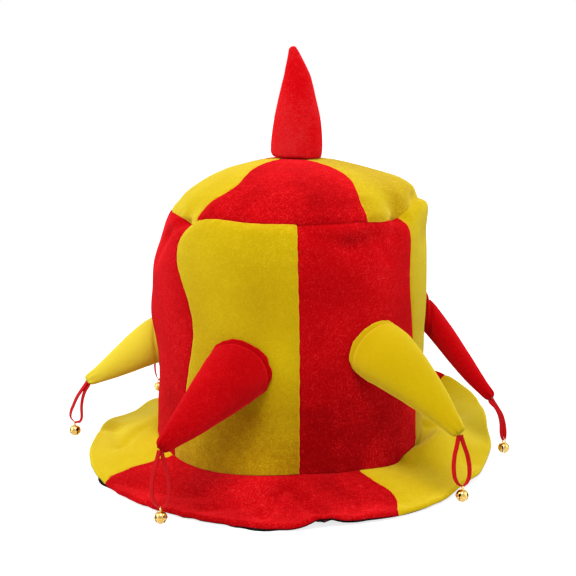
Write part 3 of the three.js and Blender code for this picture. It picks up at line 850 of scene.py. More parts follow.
# azimuth, height, span round, span up, depth inwards
DENTS = [
    (-88, 66, 16, 20, 2.6), (-88, 104, 14, 16, -2.4), (-84, 178, 24, 13, 7), (-84, 160, 24, 14, 4.8),
    (-110, 197, 38, 15, 6), (-50, 181, 7, 9, 4), (55, 182, 7, 8, 6), (84, 184, 15, 12, -5),
    (86, 182, 16, 7, -1.5), (86, 166, 14, 10, -1), (100, 194, 34, 9, -4), (18, 140, 10, 40, 1.5),
    (150, 176, 18, 14, 4),
]
# seam, height, span, turn
SWAYS = [
    (-46, 10, 35, -10), (-46, 108, 28, 5), (-46, 156, 20, -5.5), (3.7, 175, 50, -0.9), (60, 30, 45, 7),
    (60, 140, 34, -4.5), (-43, 202.5, 9.5, 10.5), (34, 212, 13, 13),
]
# azimuth, span, how far the crown's foot sags below the level, or rises if below 0
FOOT_DIPS = [(50, 15, 4.7), (-42, 26, 3.2), (4, 14, -1.3)]
FOOT_DIP_REACH = 22
# azimuth, span, share of the meridian by which the top seam rises
TOP_SWAYS = [(-48, 8, -0.026), (-70, 14, 0.022), (-30, 10, 0.011), (42, 8, -0.016), (78, 13, 0.055)]


def turn_between(a, b):
    """Difference of two azimuths, between -180 and 180."""
    return (a - b + 180) % 360 - 180


def body_face(azimuth, share):
    """Points of the crown's and dome's outer face, and the directions out of it."""
    radius, height = np.moveaxis(smooth_curve(MERIDIAN, share), -1, 0)
    ahead = smooth_curve(MERIDIAN, np.minimum(share + SHARE_STEP, 1))
    ahead = unit(ahead - smooth_curve(MERIDIAN, np.maximum(share - SHARE_STEP, 0)))
    out, up = ahead[..., 1], -ahead[..., 0]
    dent = sum(deep * hump(turn_between(azimuth, a), wide) * hump(height - h, tall)
               for a, h, wide, tall, deep in DENTS)
    return on_circle(radius - dent * out, azimuth, height - dent * up), on_circle(out, azimuth, up)


def seam_at(seam, height):
    """Azimuth of a crown seam at a height."""
    sways = [turn * hump(height - h, span) for s, h, span, turn in SWAYS if abs(turn_between(s, seam)) < 1]
    return seam + sum(sways) + 0 * height


def foot_dip(azimuth):
    """How far the slack crown's foot sags below the level."""
    return sum(dip * hump(turn_between(azimuth, a), span) for a, span, dip in FOOT_DIPS)


def top_seam_at(azimuth):
    """Share of the meridian at which panels and gores meet."""
    return TOP_SEAM + sum(rise * hump(turn_between(azimuth, a), span) for a, span, rise in TOP_SWAYS)


LADDER_RUNGS = 1301
LADDER = np.linspace(0, 1, LADDER_RUNGS)
LADDER_POINTS = smooth_curve(MERIDIAN, LADDER)
LADDER_LENGTH = np.concatenate([[0], np.cumsum(np.linalg.norm(np.diff(LADDER_POINTS, axis=0), axis=1))])
print("length of the meridian, mm:", round(LADDER_LENGTH[-1], 1))

# %% Seams
CLOTH = 2.5
# below 0, neighbours overlap in the seam
SEAM_GAP = -0.1
SEAM_DEPTH = 0.5
SEAM_REACH = 1.5
SEAM_WANDER = 0.15
# pitch of the slow and the quick stray, and the quick one's strength beside the slow one
WANDER_SLOW = 13.7
WANDER_QUICK = 5.3
WANDER_SHARE = 0.7
PUCKER = 0.3
PUCKER_PITCH = 9.0
PUCKER_REACH = 5.0
PUCKER_START = 1.5
# a second, weaker set of puckers: times as long, times as deep
PUCKER_LONGER = 1.63
PUCKER_WEAKER = 0.6


def crowd(share, pull=0.8):
    """Evenly spaced shares drawn towards both ends."""
    return share - pull * np.sin(2 * np.pi * share) / (2 * np.pi)


def seam_valley(distance):
    """Depth of the soft valley along a seam."""
    return SEAM_DEPTH * np.exp(-distance / SEAM_REACH)


def wander(along, seam):
    """How far a hand-guided seam strays to the side."""
    start = seam % 360
    slow = np.sin(2 * np.pi * along / WANDER_SLOW + start)
    return SEAM_WANDER * (slow + WANDER_SHARE * np.sin(2 * np.pi * along / WANDER_QUICK + 2 * start))


def puckers(along, distance):
    """Small waves along a seam that die away from it."""
    wave = np.sin(2 * np.pi * along / PUCKER_PITCH)
    wave = wave + PUCKER_WEAKER * np.sin(2 * np.pi * along / (PUCKER_PITCH * PUCKER_LONGER) + 1)
    return PUCKER * wave * np.exp(-distance / PUCKER_REACH) * np.clip(distance / PUCKER_START, 0, 1)


print("valley at a seam, mm:", SEAM_DEPTH)

# %% Folds and soft unevenness
SOFTNESS = 0.9
SOFT_SIZE = 0.028
SOFT_EDGE = 4.0
# azimuth, span, reach and depth of the puffed cloth on both sides of the top seam
PUFFS = [
    (80, 15, 4.5, 5.0), (55, 6, 6, 3.0), (-60, 10, 6, 3.5), (16, 24, 4, 1.6), (-22, 18, 4, 1.2),
    (140, 40, 5, 2.0), (-130, 40, 5, 2.5),
]
# azimuth and height of one end, of the other, width, depth
FOLDS = [
    (6, 177, 24, 165, 6, 2.3), (24, 165, 47, 171, 7, 2.7), (34, 176, 40, 158, 5, 1.2),
    (-38, 108, -12, 94, 5, 0.5), (-52, 180, -66, 166, 5, 2.6), (-66, 166, -74, 146, 6, 1.8),
    (96, 168, 70, 160, 7, 1.0), (200, 170, 224, 160, 7, 1.2), (140, 60, 168, 50, 9, 1.2),
]


def away_from_line(x, y, x1, y1, x2, y2):
    """Distance of points from a stretch of straight line."""
    share = ((x - x1) * (x2 - x1) + (y - y1) * (y2 - y1)) / ((x2 - x1) ** 2 + (y2 - y1) ** 2)
    share = np.clip(share, 0, 1)
    return np.hypot(x - x1 - share * (x2 - x1), y - y1 - share * (y2 - y1))


def folds_in(azimuth, height, radius):
    """Depth of the crown's soft folds."""
    depth = 0 * height
    for a1, h1, a2, h2, wide, deep in FOLDS:
        level = np.radians(turn_between(azimuth, a1)) * radius
        other = np.radians(turn_between(a2, a1)) * radius
        depth = depth + deep * hump(away_from_line(level, height, 0 * level, h1, other, h2), wide)
    return depth


clouds = bpy.data.textures.new("soft unevenness", "CLOUDS")
clouds.noise_scale = SOFT_SIZE
clouds.noise_depth = 2


def weigh(piece, name, weights):
    """A vertex group with a weight for each vertex."""
    group = piece.vertex_groups.new(name=name)
    for place, weight in enumerate(weights):
        group.add([place], float(weight), "REPLACE")


def soften(piece, strength, weights):
    """Soft unevenness of hand-sewn cloth, less where the weights are low."""
    weigh(piece, "soft", weights)
    add_modifier(piece, "DISPLACE", texture=clouds, texture_coords="LOCAL", strength=strength * MM,
                 mid_level=0.5, vertex_group="soft")
    piece.vertex_groups.clear()


print("folds of the crown:", len(FOLDS), "and puffs:", len(PUFFS))

# %% A sheet of the crown
# name, finish, seam, next seam
PANELS = [
    ("front_left", "velour_yellow", -46, 3.7), ("front_right", "velour_red", 3.7, 60),
    ("right", "velour_yellow", 60, 121), ("back_right", "velour_red", 121, 181),
    ("back_left", "velour_yellow", 181, 238), ("left", "velour_red", 238, 314),
]
GORES = [
    ("front", "velour_red", -43, 34), ("right", "velour_yellow", 34, 128),
    ("back", "velour_red", 128, 222), ("left", "velour_yellow", 222, 317),
]
PANEL_GRID = (64, 100)
GORE_GRID = (80, 70)
# half of the gap at the top seam as a share of the meridian, below 0 because the sheets overlap there
HALF_SEAM = -0.0004
# span of the painted shade along a seam
SEAM_SHADE = 0.8
# painted shade that darkens the crown towards its foot, and how far up it reaches
FOOT_PAINTED_SHADE = 0.4
FOOT_PAINTED_SHADE_SPAN = 52
# azimuth, height, span round, span up, how much darker the pile is painted, or lighter if below 0; the
# row at -18 is a painted shadow under the front-left horn
PATCHES_AND_PAINTED_SHADOW = [
    (40, 148, 9, 16, -0.3), (30, 172, 8, 6, 0.2), (-8, 150, 7, 30, 0.1), (-4, 92, 7, 22, -0.22),
    (-18, 55, 8, 16, 0.25), (48, 192, 8, 6, -0.35),
]


def top_seam_shows(finish, neighbours, azimuth):
    """Where the top seam gets painted shade: 0 where yellow adjoins yellow, and elsewhere 1."""
    plain = np.zeros(len(azimuth), bool)
    for _, other, seam, next_seam in neighbours:
        if other == finish == "velour_yellow":
            plain |= (azimuth - seam) % 360 < next_seam - seam
    return 1.0 - plain


def body_sheet(name, node, finish, seam, next_seam, neighbours, columns, rows):
    """A panel or gore between two seams, with its neighbours across the top seam."""
    piece, across, up = add_grid(name, columns, rows)
    across = crowd(across)
    edge = top_seam_at(seam + (next_seam - seam) * across)
    is_panel = neighbours is GORES
    low = 0 * edge if is_panel else edge + HALF_SEAM
    high = edge - HALF_SEAM if is_panel else 0 * edge + 1
    share = low + (high - low) * crowd(up)
    radius, height = np.moveaxis(smooth_curve(MERIDIAN, share), -1, 0)
    climbed = np.interp(share, LADDER, LADDER_LENGTH)
    margin = np.degrees(SEAM_GAP / 2 / radius)
    start = seam_at(seam, height) + margin + np.degrees(wander(climbed, seam) / radius)
    end = seam_at(next_seam, height) - margin + np.degrees(wander(climbed, next_seam) / radius)
    azimuth = start + (end - start) * across
    width = radius * np.radians(end - start)
    to_side = np.minimum(across, 1 - across) * width
    to_top = np.abs(climbed - np.interp(edge, LADDER, LADDER_LENGTH))
    to_end = np.minimum(to_top, climbed) if is_panel else to_top
    depth = seam_valley(to_side) + seam_valley(to_end)
    for a, span, puff, deep in PUFFS:
        depth = depth + deep * hump(turn_between(azimuth, a), span) * hump(to_top, puff)
    depth = depth + puckers(climbed, to_side) + puckers(across * width, to_end)
    depth = depth + folds_in(azimuth, height, radius)
    face, out = body_face(azimuth, share)
    face[:, 2] -= foot_dip(azimuth) * hump(height - MERIDIAN[0][1], FOOT_DIP_REACH)
    move_points(piece, face - out * depth[:, None])
    # painted shade along the seams
    at_top = top_seam_shows(finish, neighbours, azimuth) * hump(to_top, SEAM_SHADE)
    keep_value(piece, "seam", np.maximum(at_top, hump(to_side, SEAM_SHADE)))
    # painted shade towards the foot, and painted patches, on top of the piece's own value
    nap_and_painted_light = PIECE_NAPS_AND_PAINTED_LIGHT.get(node, 0.0) + FOOT_PAINTED_SHADE * hump(height - MERIDIAN[0][1], FOOT_PAINTED_SHADE_SPAN)
    for a, h, wide, tall, deep in PATCHES_AND_PAINTED_SHADOW:
        nap_and_painted_light = nap_and_painted_light + deep * hump(turn_between(azimuth, a), wide) * hump(height - h, tall)
    keep_value(piece, "nap_and_painted_light", nap_and_painted_light)
    soften(piece, SOFTNESS, np.clip(np.minimum(to_side, to_end) / SOFT_EDGE, 0, 1))
    add_modifier(piece, "SOLIDIFY", thickness=CLOTH * MM, offset=-1.0)
    finish_piece(piece, node, finish)


# %% Six panels
for name, finish, seam, next_seam in PANELS:
    body_sheet("velour_panel_" + name, "crown_panel_" + name, finish, seam, next_seam, GORES, *PANEL_GRID)

# %% Four gores
for name, finish, seam, next_seam in GORES:
    body_sheet("velour_gore_" + name, "top_gore_" + name, finish, seam, next_seam, PANELS, *GORE_GRID)

# %% [markdown]
# ## The brim
# Four pieces of velour make the upper side, and a black cloth faces the lower one. The brim lies on the
# floor at its edge and rises to the crown, its edge lifts in a few waves, and soft folds run across it. At
# the right a ridge and a hollow lie side by side near the crown. The hollow gets painted shade, and the
# pile towards the sides gets painted light. At the edge the velour rolls over and mostly hides the
# facing, which peeps out in a few places.

# %% The brim's upper face
RIM_RADIUS = 147.0
HEAD_RADIUS = 95.0
BRIM_HEIGHT = 14.6
FACING = 1.5
WAVE_POWER = 2.2
FOOT_DIP_POWER = 1.5
SCALLOP = 0.5
SCALLOP_MIDDLE = -25
SCALLOP_SPAN = 28
SCALLOP_POWER = 6
# degrees from one scallop to the next, wide and narrow ones, and the narrow ones' strength
SCALLOP_WIDE = 7.2
SCALLOP_NARROW = 4.5
SCALLOP_SHARE = 0.7
# azimuth, span, lift, reach
WAVES = [
    (-4, 10, 0, 2.5), (8, 4, 5.5, 0), (17, 9, 1.8, -1.2), (54, 11, 3.5, -1.5), (73, 9, 0, -2.5),
    (96, 8, 0, -1.8), (116, 22, 0, 15), (136, 30, 26, 0), (-48, 12, 0, 1), (-104, 8, 2.2, 0.8),
    (-117, 7, 0, -5), (-132, 9, 2, 1),
]
# share out, share of the rise
BRIM_PROFILE = [(0, 1), (0.06, 0.99), (0.2, 0.84), (0.4, 0.54), (0.6, 0.25), (0.8, 0.03), (1, 0)]
PROFILE_POINTS = 400


def brim_face(azimuth, out):
    """Radius and height of the brim's upper face."""
    swells = [(hump(turn_between(azimuth, a), span), lift, reach) for a, span, lift, reach in WAVES]
    lift = sum(swell * up for swell, up, _ in swells)
    reach = sum(swell * far for swell, _, far in swells)
    fine = smooth_curve(BRIM_PROFILE, np.linspace(0, 1, PROFILE_POINTS))
    rise = np.interp(out, fine[:, 0], fine[:, 1])
    edge = CLOTH + GAP + FACING
    scallops = np.sin(2 * np.pi * azimuth / SCALLOP_WIDE + 1)
    scallops = scallops + SCALLOP_SHARE * np.sin(2 * np.pi * azimuth / SCALLOP_NARROW + 2)
    scallops = SCALLOP * scallops * hump(turn_between(azimuth, SCALLOP_MIDDLE), SCALLOP_SPAN)
    reach = reach + scallops * out**SCALLOP_POWER
    radius = HEAD_RADIUS + (RIM_RADIUS + reach - HEAD_RADIUS) * out
    height = edge + (BRIM_HEIGHT - edge) * rise + lift * out**WAVE_POWER
    height = height - foot_dip(azimuth) * np.clip(1 - out, 0, 1) ** FOOT_DIP_POWER
    return radius, height


print("waves of the brim:", len(WAVES))

# %% The brim's folds
# distance from the head seam in which folds fade in
FOLD_FADE = 4.0
# azimuth and share out of one end, of the other, width, depth, which is below 0 for a ridge
BRIM_FOLDS = [
    (54, 0.08, 90, 0.38, 8, -5.0), (66, 0.02, 95, 0.15, 6, 3.5), (8.5, 0.93, 0.5, 0.27, 3.2, 3.2),
    (-7, 0.8, -2, 0.25, 3.0, 3.0), (17, 0.9, 22, 0.6, 4, 1.2),
    (-24, 0.8, -12, 0.62, 4, 1.3), (-40, 0.7, -26, 0.55, 5, 1.2), (-55, 0.9, -44, 0.7, 5, 1.0),
    (-83, 0.55, -100, 0.75, 6, 3.0), (-92, 0.3, -80, 0.62, 6, 2.0), (70, 0.75, 92, 0.35, 7, 3.0),
    (44, 0.9, 58, 0.5, 6, 1.6), (110, 0.9, 104, 0.4, 6, 2.0), (160, 0.95, 166, 0.5, 5, 2.0),
    (190, 0.9, 183, 0.5, 5, 2.0), (228, 0.9, 236, 0.5, 5, 2.2), (262, 0.95, 255, 0.5, 5, 1.8),
]


def brim_folds_in(azimuth, out):
    """Depth of the brim's soft folds."""
    width, round_it = RIM_RADIUS - HEAD_RADIUS, np.radians(1) * RIM_RADIUS
    depth = 0 * out
    for a1, o1, a2, o2, wide, deep in BRIM_FOLDS:
        level = turn_between(azimuth, a1) * round_it
        line = (0 * level, o1 * width, turn_between(a2, a1) * round_it, o2 * width)
        depth = depth + deep * hump(away_from_line(level, out * width, *line), wide)
    return depth * np.clip(out * width / FOLD_FADE, 0, 1)


print("folds of the brim:", len(BRIM_FOLDS))

# %% Four pieces of the brim
BRIM_SEGMENTS = [
    ("front", "velour_red", -61, 28.5), ("right", "velour_yellow", 28.5, 126),
    ("back", "velour_red", 126, 212), ("left", "velour_yellow", 212, 299),
]
# seam, share out, span, turn
BRIM_SWAYS = [
    (-61, 0.08, 0.14, 4), (-61, 0.33, 0.12, 2), (-61, 1, 0.12, 3.2), (28.5, 0.55, 0.3, 3.8),
    (28.5, 1, 0.15, -1.2),
]
# azimuth, share out, span round, span out, how much darker the pile is painted: painted shade in the
# hollow at the right, and painted light towards the sides
BRIM_PAINTED_LIGHT_AND_SHADE = [(74, 0.1, 13, 0.14, 0.45), (104, 0.7, 26, 0.5, -0.5), (-122, 0.75, 34, 0.5, -0.5)]
RIM_ROLL = 2.6
BRIM_SOFTNESS = 1.6
BRIM_GRID = (110, 44)
BRIM_SEAM_SHADE = 1.2
# lowest place of the upper face, as a share of the cloth's thickness, and of the lower face
UPPER_LOWEST = 0.6
LOWER_LOWEST = 0.05


def brim_seam_at(seam, out):
    """Azimuth of a brim seam at a share of the brim's width."""
    sways = [turn * hump(out - o, span) for s, o, span, turn in BRIM_SWAYS if abs(turn_between(s, seam)) < 1]
    return seam + sum(sways) + 0 * out


def rolled(distance, radius):
    """Depth of an edge that rolls over in a quarter circle, at a distance from its end."""
    left = np.clip(1 - distance / radius, 0, 1)
    return radius * (1 - np.sqrt(1 - left**2))


def brim_sheet(name, finish, seam, next_seam):
    """One piece of the brim's upper side."""
    piece, across, out = add_grid("velour_brim_" + name, *BRIM_GRID)
    across, out = crowd(across), crowd(out)
    flat_radius = HEAD_RADIUS + (RIM_RADIUS - HEAD_RADIUS) * out
    margin = np.degrees(SEAM_GAP / 2 / flat_radius)
    start = brim_seam_at(seam, out) + margin + np.degrees(wander(flat_radius, seam) / flat_radius)
    end = brim_seam_at(next_seam, out) - margin + np.degrees(wander(flat_radius, next_seam) / flat_radius)
    azimuth = end + (start - end) * across
    radius, height = brim_face(azimuth, out)
    width = radius * np.radians(end - start)
    to_side = np.minimum(across, 1 - across) * width
    to_rim = (1 - out) * (RIM_RADIUS - HEAD_RADIUS)
    to_head = out * (RIM_RADIUS - HEAD_RADIUS)
    depth = seam_valley(to_side) + rolled(to_rim, RIM_ROLL)
    depth = depth + puckers(radius, to_side) + brim_folds_in(azimuth, out)
    points = on_circle(radius, azimuth, np.maximum(height - depth, CLOTH * UPPER_LOWEST))
    move_points(piece, points)
    # painted shade along the seams and the head seam
    keep_value(piece, "seam", hump(np.minimum(to_side, to_head), BRIM_SEAM_SHADE))
    nap_and_painted_light = PIECE_NAPS_AND_PAINTED_LIGHT.get("brim_segment_" + name, 0.0) + 0 * out
    for a, o, wide, far, deep in BRIM_PAINTED_LIGHT_AND_SHADE:
        nap_and_painted_light = nap_and_painted_light + deep * hump(turn_between(azimuth, a), wide) * hump(out - o, far)
    keep_value(piece, "nap_and_painted_light", nap_and_painted_light)
    soften(piece, BRIM_SOFTNESS, np.clip(np.minimum(to_side, to_head) / SOFT_EDGE, 0, 1))
    add_modifier(piece, "SOLIDIFY", thickness=CLOTH * MM, offset=-1.0)
    points = from_frame(read_points(piece))
    points[:, 2] = np.maximum(points[:, 2], LOWER_LOWEST)
    move_points(piece, points)
    finish_piece(piece, "brim_segment_" + name, finish)


for segment in BRIM_SEGMENTS:
    brim_sheet(*segment)

# %% The black facing
# azimuth, span, how far it peeps out
PEEPS = [(-60.5, 4.5, 4.0), (-8, 5, 2.8), (17, 9, 1.6), (96, 20, 1.0), (-150, 15, 1.5)]
FACING_TUCK = 2.6
TUCK_POWER = 8
FACING_GRID = (300, 20)
WELD = 0.01

facing, around, out = add_grid("black_facing", *FACING_GRID)
azimuth = 360 - 360 * around
radius, height = brim_face(azimuth, out)
tuck = FACING_TUCK - sum(peep * hump(turn_between(azimuth, a), span) for a, span, peep in PEEPS)
top = np.maximum(height - brim_folds_in(azimuth, out) - CLOTH - GAP, FACING)
move_points(facing, on_circle(radius - tuck * out**TUCK_POWER, azimuth, top))
only(facing)
bpy.ops.object.mode_set(mode="EDIT")
bpy.ops.mesh.select_all(action="SELECT")
bpy.ops.mesh.remove_doubles(threshold=WELD * MM)
bpy.ops.object.mode_set(mode="OBJECT")
add_modifier(facing, "SOLIDIFY", thickness=FACING * MM, offset=-1.0)
points = from_frame(read_points(facing))
points[:, 2] = np.maximum(points[:, 2], 0.0)
move_points(facing, points)
finish_piece(facing, "brim_facing", "facing_black")
print("faces of the facing:", len(facing.data.polygons))

# %% [markdown]
# ## The stuffed horns
# A horn is a cone of velour, stuffed with wadding and sewn to the crown by a turned hem. Each starts as a
# sphere, whose rings are moved along the horn's bent middle line, and its base is pressed onto the crown.
# Blender's cloth, blown up a little from inside while the base stays sewn, then swells it as wadding
# does. The hem's groove and lip, which show on the upper side, the long seam underneath and the gathers at
# the tip come after that.

# %% Stuffing
STUFFING_VOXEL = 2.6
STUFFING_PRESSURE = 3.0
STUFFING_FRAMES = 20
STUFFING_CAP = 2.2
# a distance in metres that counts as no move at all
STILL = 1e-9
EVEN_FACTOR = 0.5
EVEN_ROUNDS = 5


def face_outwards(piece):
    """Turns the normals of a closed form outwards."""
    only(piece)
    bpy.ops.object.mode_set(mode="EDIT")
    bpy.ops.mesh.select_all(action="SELECT")
    bpy.ops.mesh.normals_make_consistent(inside=False)
    bpy.ops.object.mode_set(mode="OBJECT")


def stuff(piece, sewn):
    """Remeshes a closed form evenly and swells it, holding the vertices that sewn(points) names."""
    only(piece)
    piece.data.remesh_voxel_size = STUFFING_VOXEL * MM
    bpy.ops.object.voxel_remesh()
    start = read_points(piece)
    held = np.flatnonzero(sewn(from_frame(start)))
    group = piece.vertex_groups.new(name="sewn")
    group.add(held.tolist(), 1.0, "REPLACE")
    cloth = piece.modifiers.new("stuffing", "CLOTH")
    cloth.settings.use_pressure = True
    cloth.settings.uniform_pressure_force = STUFFING_PRESSURE
    cloth.settings.effector_weights.gravity = 0
    cloth.settings.vertex_group_mass = "sewn"
    cloth.point_cache.frame_start = 1
    cloth.point_cache.frame_end = STUFFING_FRAMES
    for step in range(1, STUFFING_FRAMES + 1):
        bpy.context.scene.frame_set(step)
    bpy.ops.object.modifier_apply(modifier=cloth.name)
    bpy.context.scene.frame_set(1)
    moved = read_points(piece) - start
    far = np.linalg.norm(moved, axis=1, keepdims=True)
    limit = STUFFING_CAP * MM
    swollen = start + moved * np.minimum(1, limit / np.maximum(far, STILL))
    move_points(piece, from_frame(swollen))
    piece.vertex_groups.clear()
    print("swelled by up to, mm:", round(float(far.max()) / MM, 2), "held:", len(held))


def even_out(piece, weights):
    """Smooths the steps that the remeshing left, where the weights say."""
    weigh(piece, "base", weights)
    add_modifier(piece, "SMOOTH", factor=EVEN_FACTOR, iterations=EVEN_ROUNDS, vertex_group="base")
    piece.vertex_groups.clear()


print("the wadding swells a horn by no more than, mm:", STUFFING_CAP)

# %% A side horn's form
HORN_BALL = (48, 72)
HORN_ROOT = 8
HORN_BEND = 0.6
SHRUNK = 0.5
PINCHED_SHARE = 0.18
SLIM_SHARE = 0.15
# share along, half width
HORN_SECTIONS = [
    (0, 0), (0, 21.8), (0.14, 21.8), (0.19, 21.2), (0.3, 20.5), (0.5, 17), (0.7, 12.6), (0.86, 9),
    (0.95, 7.2), (0.985, 6.0), (1, 4.4), (1, 0),
]
WALL_SHARES = LADDER[LADDER <= TOP_SEAM]
WALL_HEIGHTS = LADDER_POINTS[: len(WALL_SHARES), 1]


def off_wall(points):
    """How far points stand off the crown's wall, and the wall's points at their azimuths and heights."""
    azimuth = np.degrees(np.arctan2(points[:, 0], -points[:, 1]))
    face, _ = body_face(azimuth, np.interp(points[:, 2], WALL_HEIGHTS, WALL_SHARES))
    wall = np.hypot(face[:, 0], face[:, 1])
    return np.hypot(points[:, 0], points[:, 1]) - wall, on_circle(wall + GAP, azimuth, points[:, 2])


def bezier(corners, share):
    """Points and directions of a cubic curve."""
    a, b, c, d = corners
    t = share[:, None]
    point = (1 - t) ** 3 * a + 3 * (1 - t) ** 2 * t * b + 3 * (1 - t) * t**2 * c + t**3 * d
    ahead = 3 * (1 - t) ** 2 * (b - a) + 6 * (1 - t) * t * (c - b) + 3 * t**2 * (d - c)
    return point, unit(ahead)


def add_ball(name, around, rings):
    """A sphere, with each vertex's angle round it and share from one pole to the other."""
    bpy.ops.mesh.primitive_uv_sphere_add(segments=around, ring_count=rings, radius=1)
    piece = bpy.context.object
    piece.name = piece.data.name = name
    ball = read_points(piece)
    return piece, np.arctan2(ball[:, 1], ball[:, 0]), np.arccos(np.clip(ball[:, 2], -1, 1)) / np.pi


def horn_spine(horn):
    """Corners of a side horn's middle line."""
    share = np.interp([horn["height"]], WALL_HEIGHTS, WALL_SHARES)
    face, out = body_face(np.array([horn["azimuth"]], float), share)
    base, out, tip = face[0], out[0], np.array(horn["tip"], float)
    bend = base + (tip - base) * HORN_BEND + (0, 0, horn["arch"])
    return base - out * HORN_ROOT, base + out * horn["stand"], bend, tip


def along_sections(sections, length, share):
    """Place along and half width at shares of a profile's own length."""
    profile = np.array(sections, float)
    steps = np.hypot(np.diff(profile[:, 0]) * length, np.diff(profile[:, 1]))
    walked = np.concatenate([[0], np.cumsum(steps)]) / steps.sum()
    return np.interp(share, walked, profile[:, 0]), np.interp(share, walked, profile[:, 1])


print("sections of a side horn:", len(HORN_SECTIONS))

# %% A side horn before it is sewn
SPINE_SHARES = np.linspace(0, 1, 201)


def raw_horn(horn, corners, length):
    """A side horn's form with its base on the crown."""
    piece, angle, pole = add_ball("stuffed_horn_" + horn["name"], *HORN_BALL)
    along, half = along_sections(HORN_SECTIONS, length, pole)
    half = half * horn["full"] * (1 - horn["pinch"] * hump(along, PINCHED_SHARE))
    half = np.maximum(half * (1 - horn["slim"] * hump(1 - along, SLIM_SHARE)) - SHRUNK, 0)
    middle, ahead = bezier(corners, along)
    level = unit(np.cross(ahead, (0, 0, 1)))
    upright = np.cross(level, ahead)
    roll = math.radians(horn["roll"])
    side = level * math.cos(roll) + upright * math.sin(roll)
    cross = upright * math.cos(roll) - level * math.sin(roll)
    thin = half * (horn["flat"] + (horn["tip_flat"] - horn["flat"]) * along)
    points = middle + side * (half * np.cos(angle))[:, None] + cross * (thin * np.sin(angle))[:, None]
    stands, on_wall = off_wall(points)
    points = np.where((stands < GAP)[:, None], on_wall, points)
    move_points(piece, points)
    face_outwards(piece)
    return piece


print("points of a horn's middle line:", len(SPINE_SHARES))

# %% Six side horns
# how near to the crown a horn's cloth is sewn down, and how far its base is evened out
SEWN_REACH = 2.5
BASE_REACH = 4.0
HEM_PLACE = 4.4
HEM_WIDTH = 1.1
HEM_DEPTH = 1.2
HEM_LIP = 0.9
LIP_PLACE = HEM_PLACE / 3
# how far below its side, as a sine, a horn's hem has faded away
HEM_SIDE = 0.7
LONG_SEAM_SPAN = 0.0175
LONG_SEAM_DEPTH = 0.7
LONG_SEAM_START = 3
LONG_SEAM_FADE = 5
TIP_GATHERS = 0.4
GATHER_COUNT = 7
GATHER_SPAN = 0.07
# how much painted seam shade shows at the hem, the long seam and the base where the horn meets the crown
HEM_SHADE = 0.25
LONG_SEAM_SHADE = 0.5
BASE_SHADE = 0.6
BASE_SHADE_SPAN = 1.0
HORN_SOFTNESS = 0.7


def horn_places(points, corners):
    """Share along the horn and angle round it, for each point."""
    line, ahead = bezier(corners, SPINE_SHARES)
    nearest = np.array([np.argmin(((line - point) ** 2).sum(1)) for point in points])
    side = unit(np.cross(ahead, (0, 0, 1)))[nearest]
    cross = np.cross(side, ahead[nearest])
    rest = points - line[nearest]
    return SPINE_SHARES[nearest], np.arctan2((rest * cross).sum(1), (rest * side).sum(1))


def sew_horn(piece, corners):
    """The hem, long seam and gathers of a stuffed horn; gives back how far its points stand off the crown."""
    points = from_frame(read_points(piece))
    along, angle = horn_places(points, corners)
    stands, _ = off_wall(points)
    normals = np.array([vertex.normal for vertex in piece.data.vertices])
    upper = np.clip((np.sin(angle) + HEM_SIDE) / HEM_SIDE, 0, 1)
    hem = hump(stands - HEM_PLACE, HEM_WIDTH) * upper
    lip = hump(stands - LIP_PLACE, LIP_PLACE) * upper
    underneath = np.abs(turn_between(np.degrees(angle), -90)) / 360
    clear = np.clip((stands - LONG_SEAM_START) / LONG_SEAM_FADE, 0, 1)
    long_seam = hump(underneath, LONG_SEAM_SPAN) * clear
    gathers = TIP_GATHERS * np.sin(GATHER_COUNT * angle) * hump(1 - along, GATHER_SPAN)
    depth = HEM_DEPTH * hem - HEM_LIP * lip + LONG_SEAM_DEPTH * long_seam
    points = points - normals * (depth + gathers)[:, None]
    stands, on_wall = off_wall(points)
    move_points(piece, np.where((stands < GAP)[:, None], on_wall, points))
    # painted shade in the hem, the long seam and at the base
    shade = HEM_SHADE * hem + LONG_SEAM_SHADE * long_seam + BASE_SHADE * hump(stands - GAP, BASE_SHADE_SPAN)
    keep_value(piece, "seam", np.clip(shade, 0, 1))
    return stands


def side_horn(horn):
    """One stuffed side horn."""
    corners = horn_spine(horn)
    line, _ = bezier(corners, SPINE_SHARES)
    length = np.linalg.norm(np.diff(line, axis=0), axis=1).sum()
    piece = raw_horn(horn, corners, length)
    stuff(piece, lambda at: off_wall(at)[0] < SEWN_REACH)
    even_out(piece, hump(off_wall(from_frame(read_points(piece)))[0], BASE_REACH))
    add_modifier(piece, "SUBSURF", levels=2, render_levels=2)
    stands = sew_horn(piece, corners)
    soften(piece, HORN_SOFTNESS, np.clip(stands / SOFT_EDGE, 0, 1))
    finish_piece(piece, "horn_" + horn["name"], horn["finish"])
    print("horn", horn["name"], "mm long:", round(length - HORN_ROOT, 1))


for horn in HORNS:
    side_horn(horn)

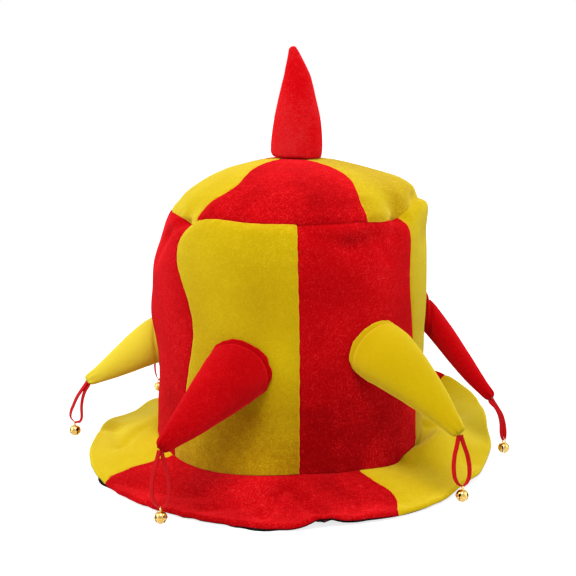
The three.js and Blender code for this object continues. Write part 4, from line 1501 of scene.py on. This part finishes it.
# %% The top horn's form
# height, half width, half depth, lean
TOP_HORN = [
    (208, 16.8, 14.2, 4.7), (213, 17.4, 14.6, 4.7), (218, 18.2, 15, 4.7), (226, 18.1, 15, 4.8),
    (234, 17.2, 14.4, 5), (244, 15.8, 13.2, 5.2), (254, 13.6, 11.4, 5.1), (264, 11, 9.4, 5.1),
    (271, 9.2, 7.9, 5), (279, 6.6, 6, 3.9), (284, 4.9, 4.6, 3.1), (288.5, 3.3, 3.2, 2.3),
    (290.6, 1.8, 1.8, 2),
]
TOP_BALL = (48, 64)
CAP_SHARE = 0.08
DOME_START = 0.6


def off_dome(points):
    """How far points near the dome's middle stand off its outer face."""
    dome = LADDER_POINTS[LADDER > DOME_START][::-1]
    return points[:, 2] - np.interp(np.hypot(points[:, 0], points[:, 1]), dome[:, 0], dome[:, 1])


def sit_on_dome(points):
    """Lifts points out of the dome."""
    points[:, 2] += np.maximum(GAP - off_dome(points), 0)
    return points


top_horn, angle, pole = add_ball("stuffed_top_horn", *TOP_BALL)
climb = np.clip((1 - pole - CAP_SHARE) / (1 - 2 * CAP_SHARE), 0, 1)
close = np.clip(np.minimum(pole, 1 - pole) / CAP_SHARE, 0, 1)
rows = smooth_curve(TOP_HORN, 1 - climb)
wide, deep = rows[:, 1] * close, rows[:, 2] * close
points = np.stack([rows[:, 3] + wide * np.cos(angle), deep * np.sin(angle), rows[:, 0]], axis=1)
move_points(top_horn, sit_on_dome(points))
face_outwards(top_horn)
print("sections of the top horn:", len(TOP_HORN))

# %% The top horn, stuffed and sewn on
# painted shade where the top horn meets the dome, and its span
TOP_SHADE = 0.35
TOP_SHADE_SPAN = 1.2

stuff(top_horn, lambda at: off_dome(at) < SEWN_REACH)
even_out(top_horn, hump(off_dome(from_frame(read_points(top_horn))), BASE_REACH))
add_modifier(top_horn, "SUBSURF", levels=2, render_levels=2)
move_points(top_horn, sit_on_dome(from_frame(read_points(top_horn))))
stands = off_dome(from_frame(read_points(top_horn)))
keep_value(top_horn, "seam", TOP_SHADE * hump(stands - GAP, TOP_SHADE_SPAN))
soften(top_horn, HORN_SOFTNESS, np.clip(stands / SOFT_EDGE, 0, 1))
finish_piece(top_horn, "top_horn", "velour_red")
print("height of the top horn's tip, mm:", TOP_HORN[-1][0])
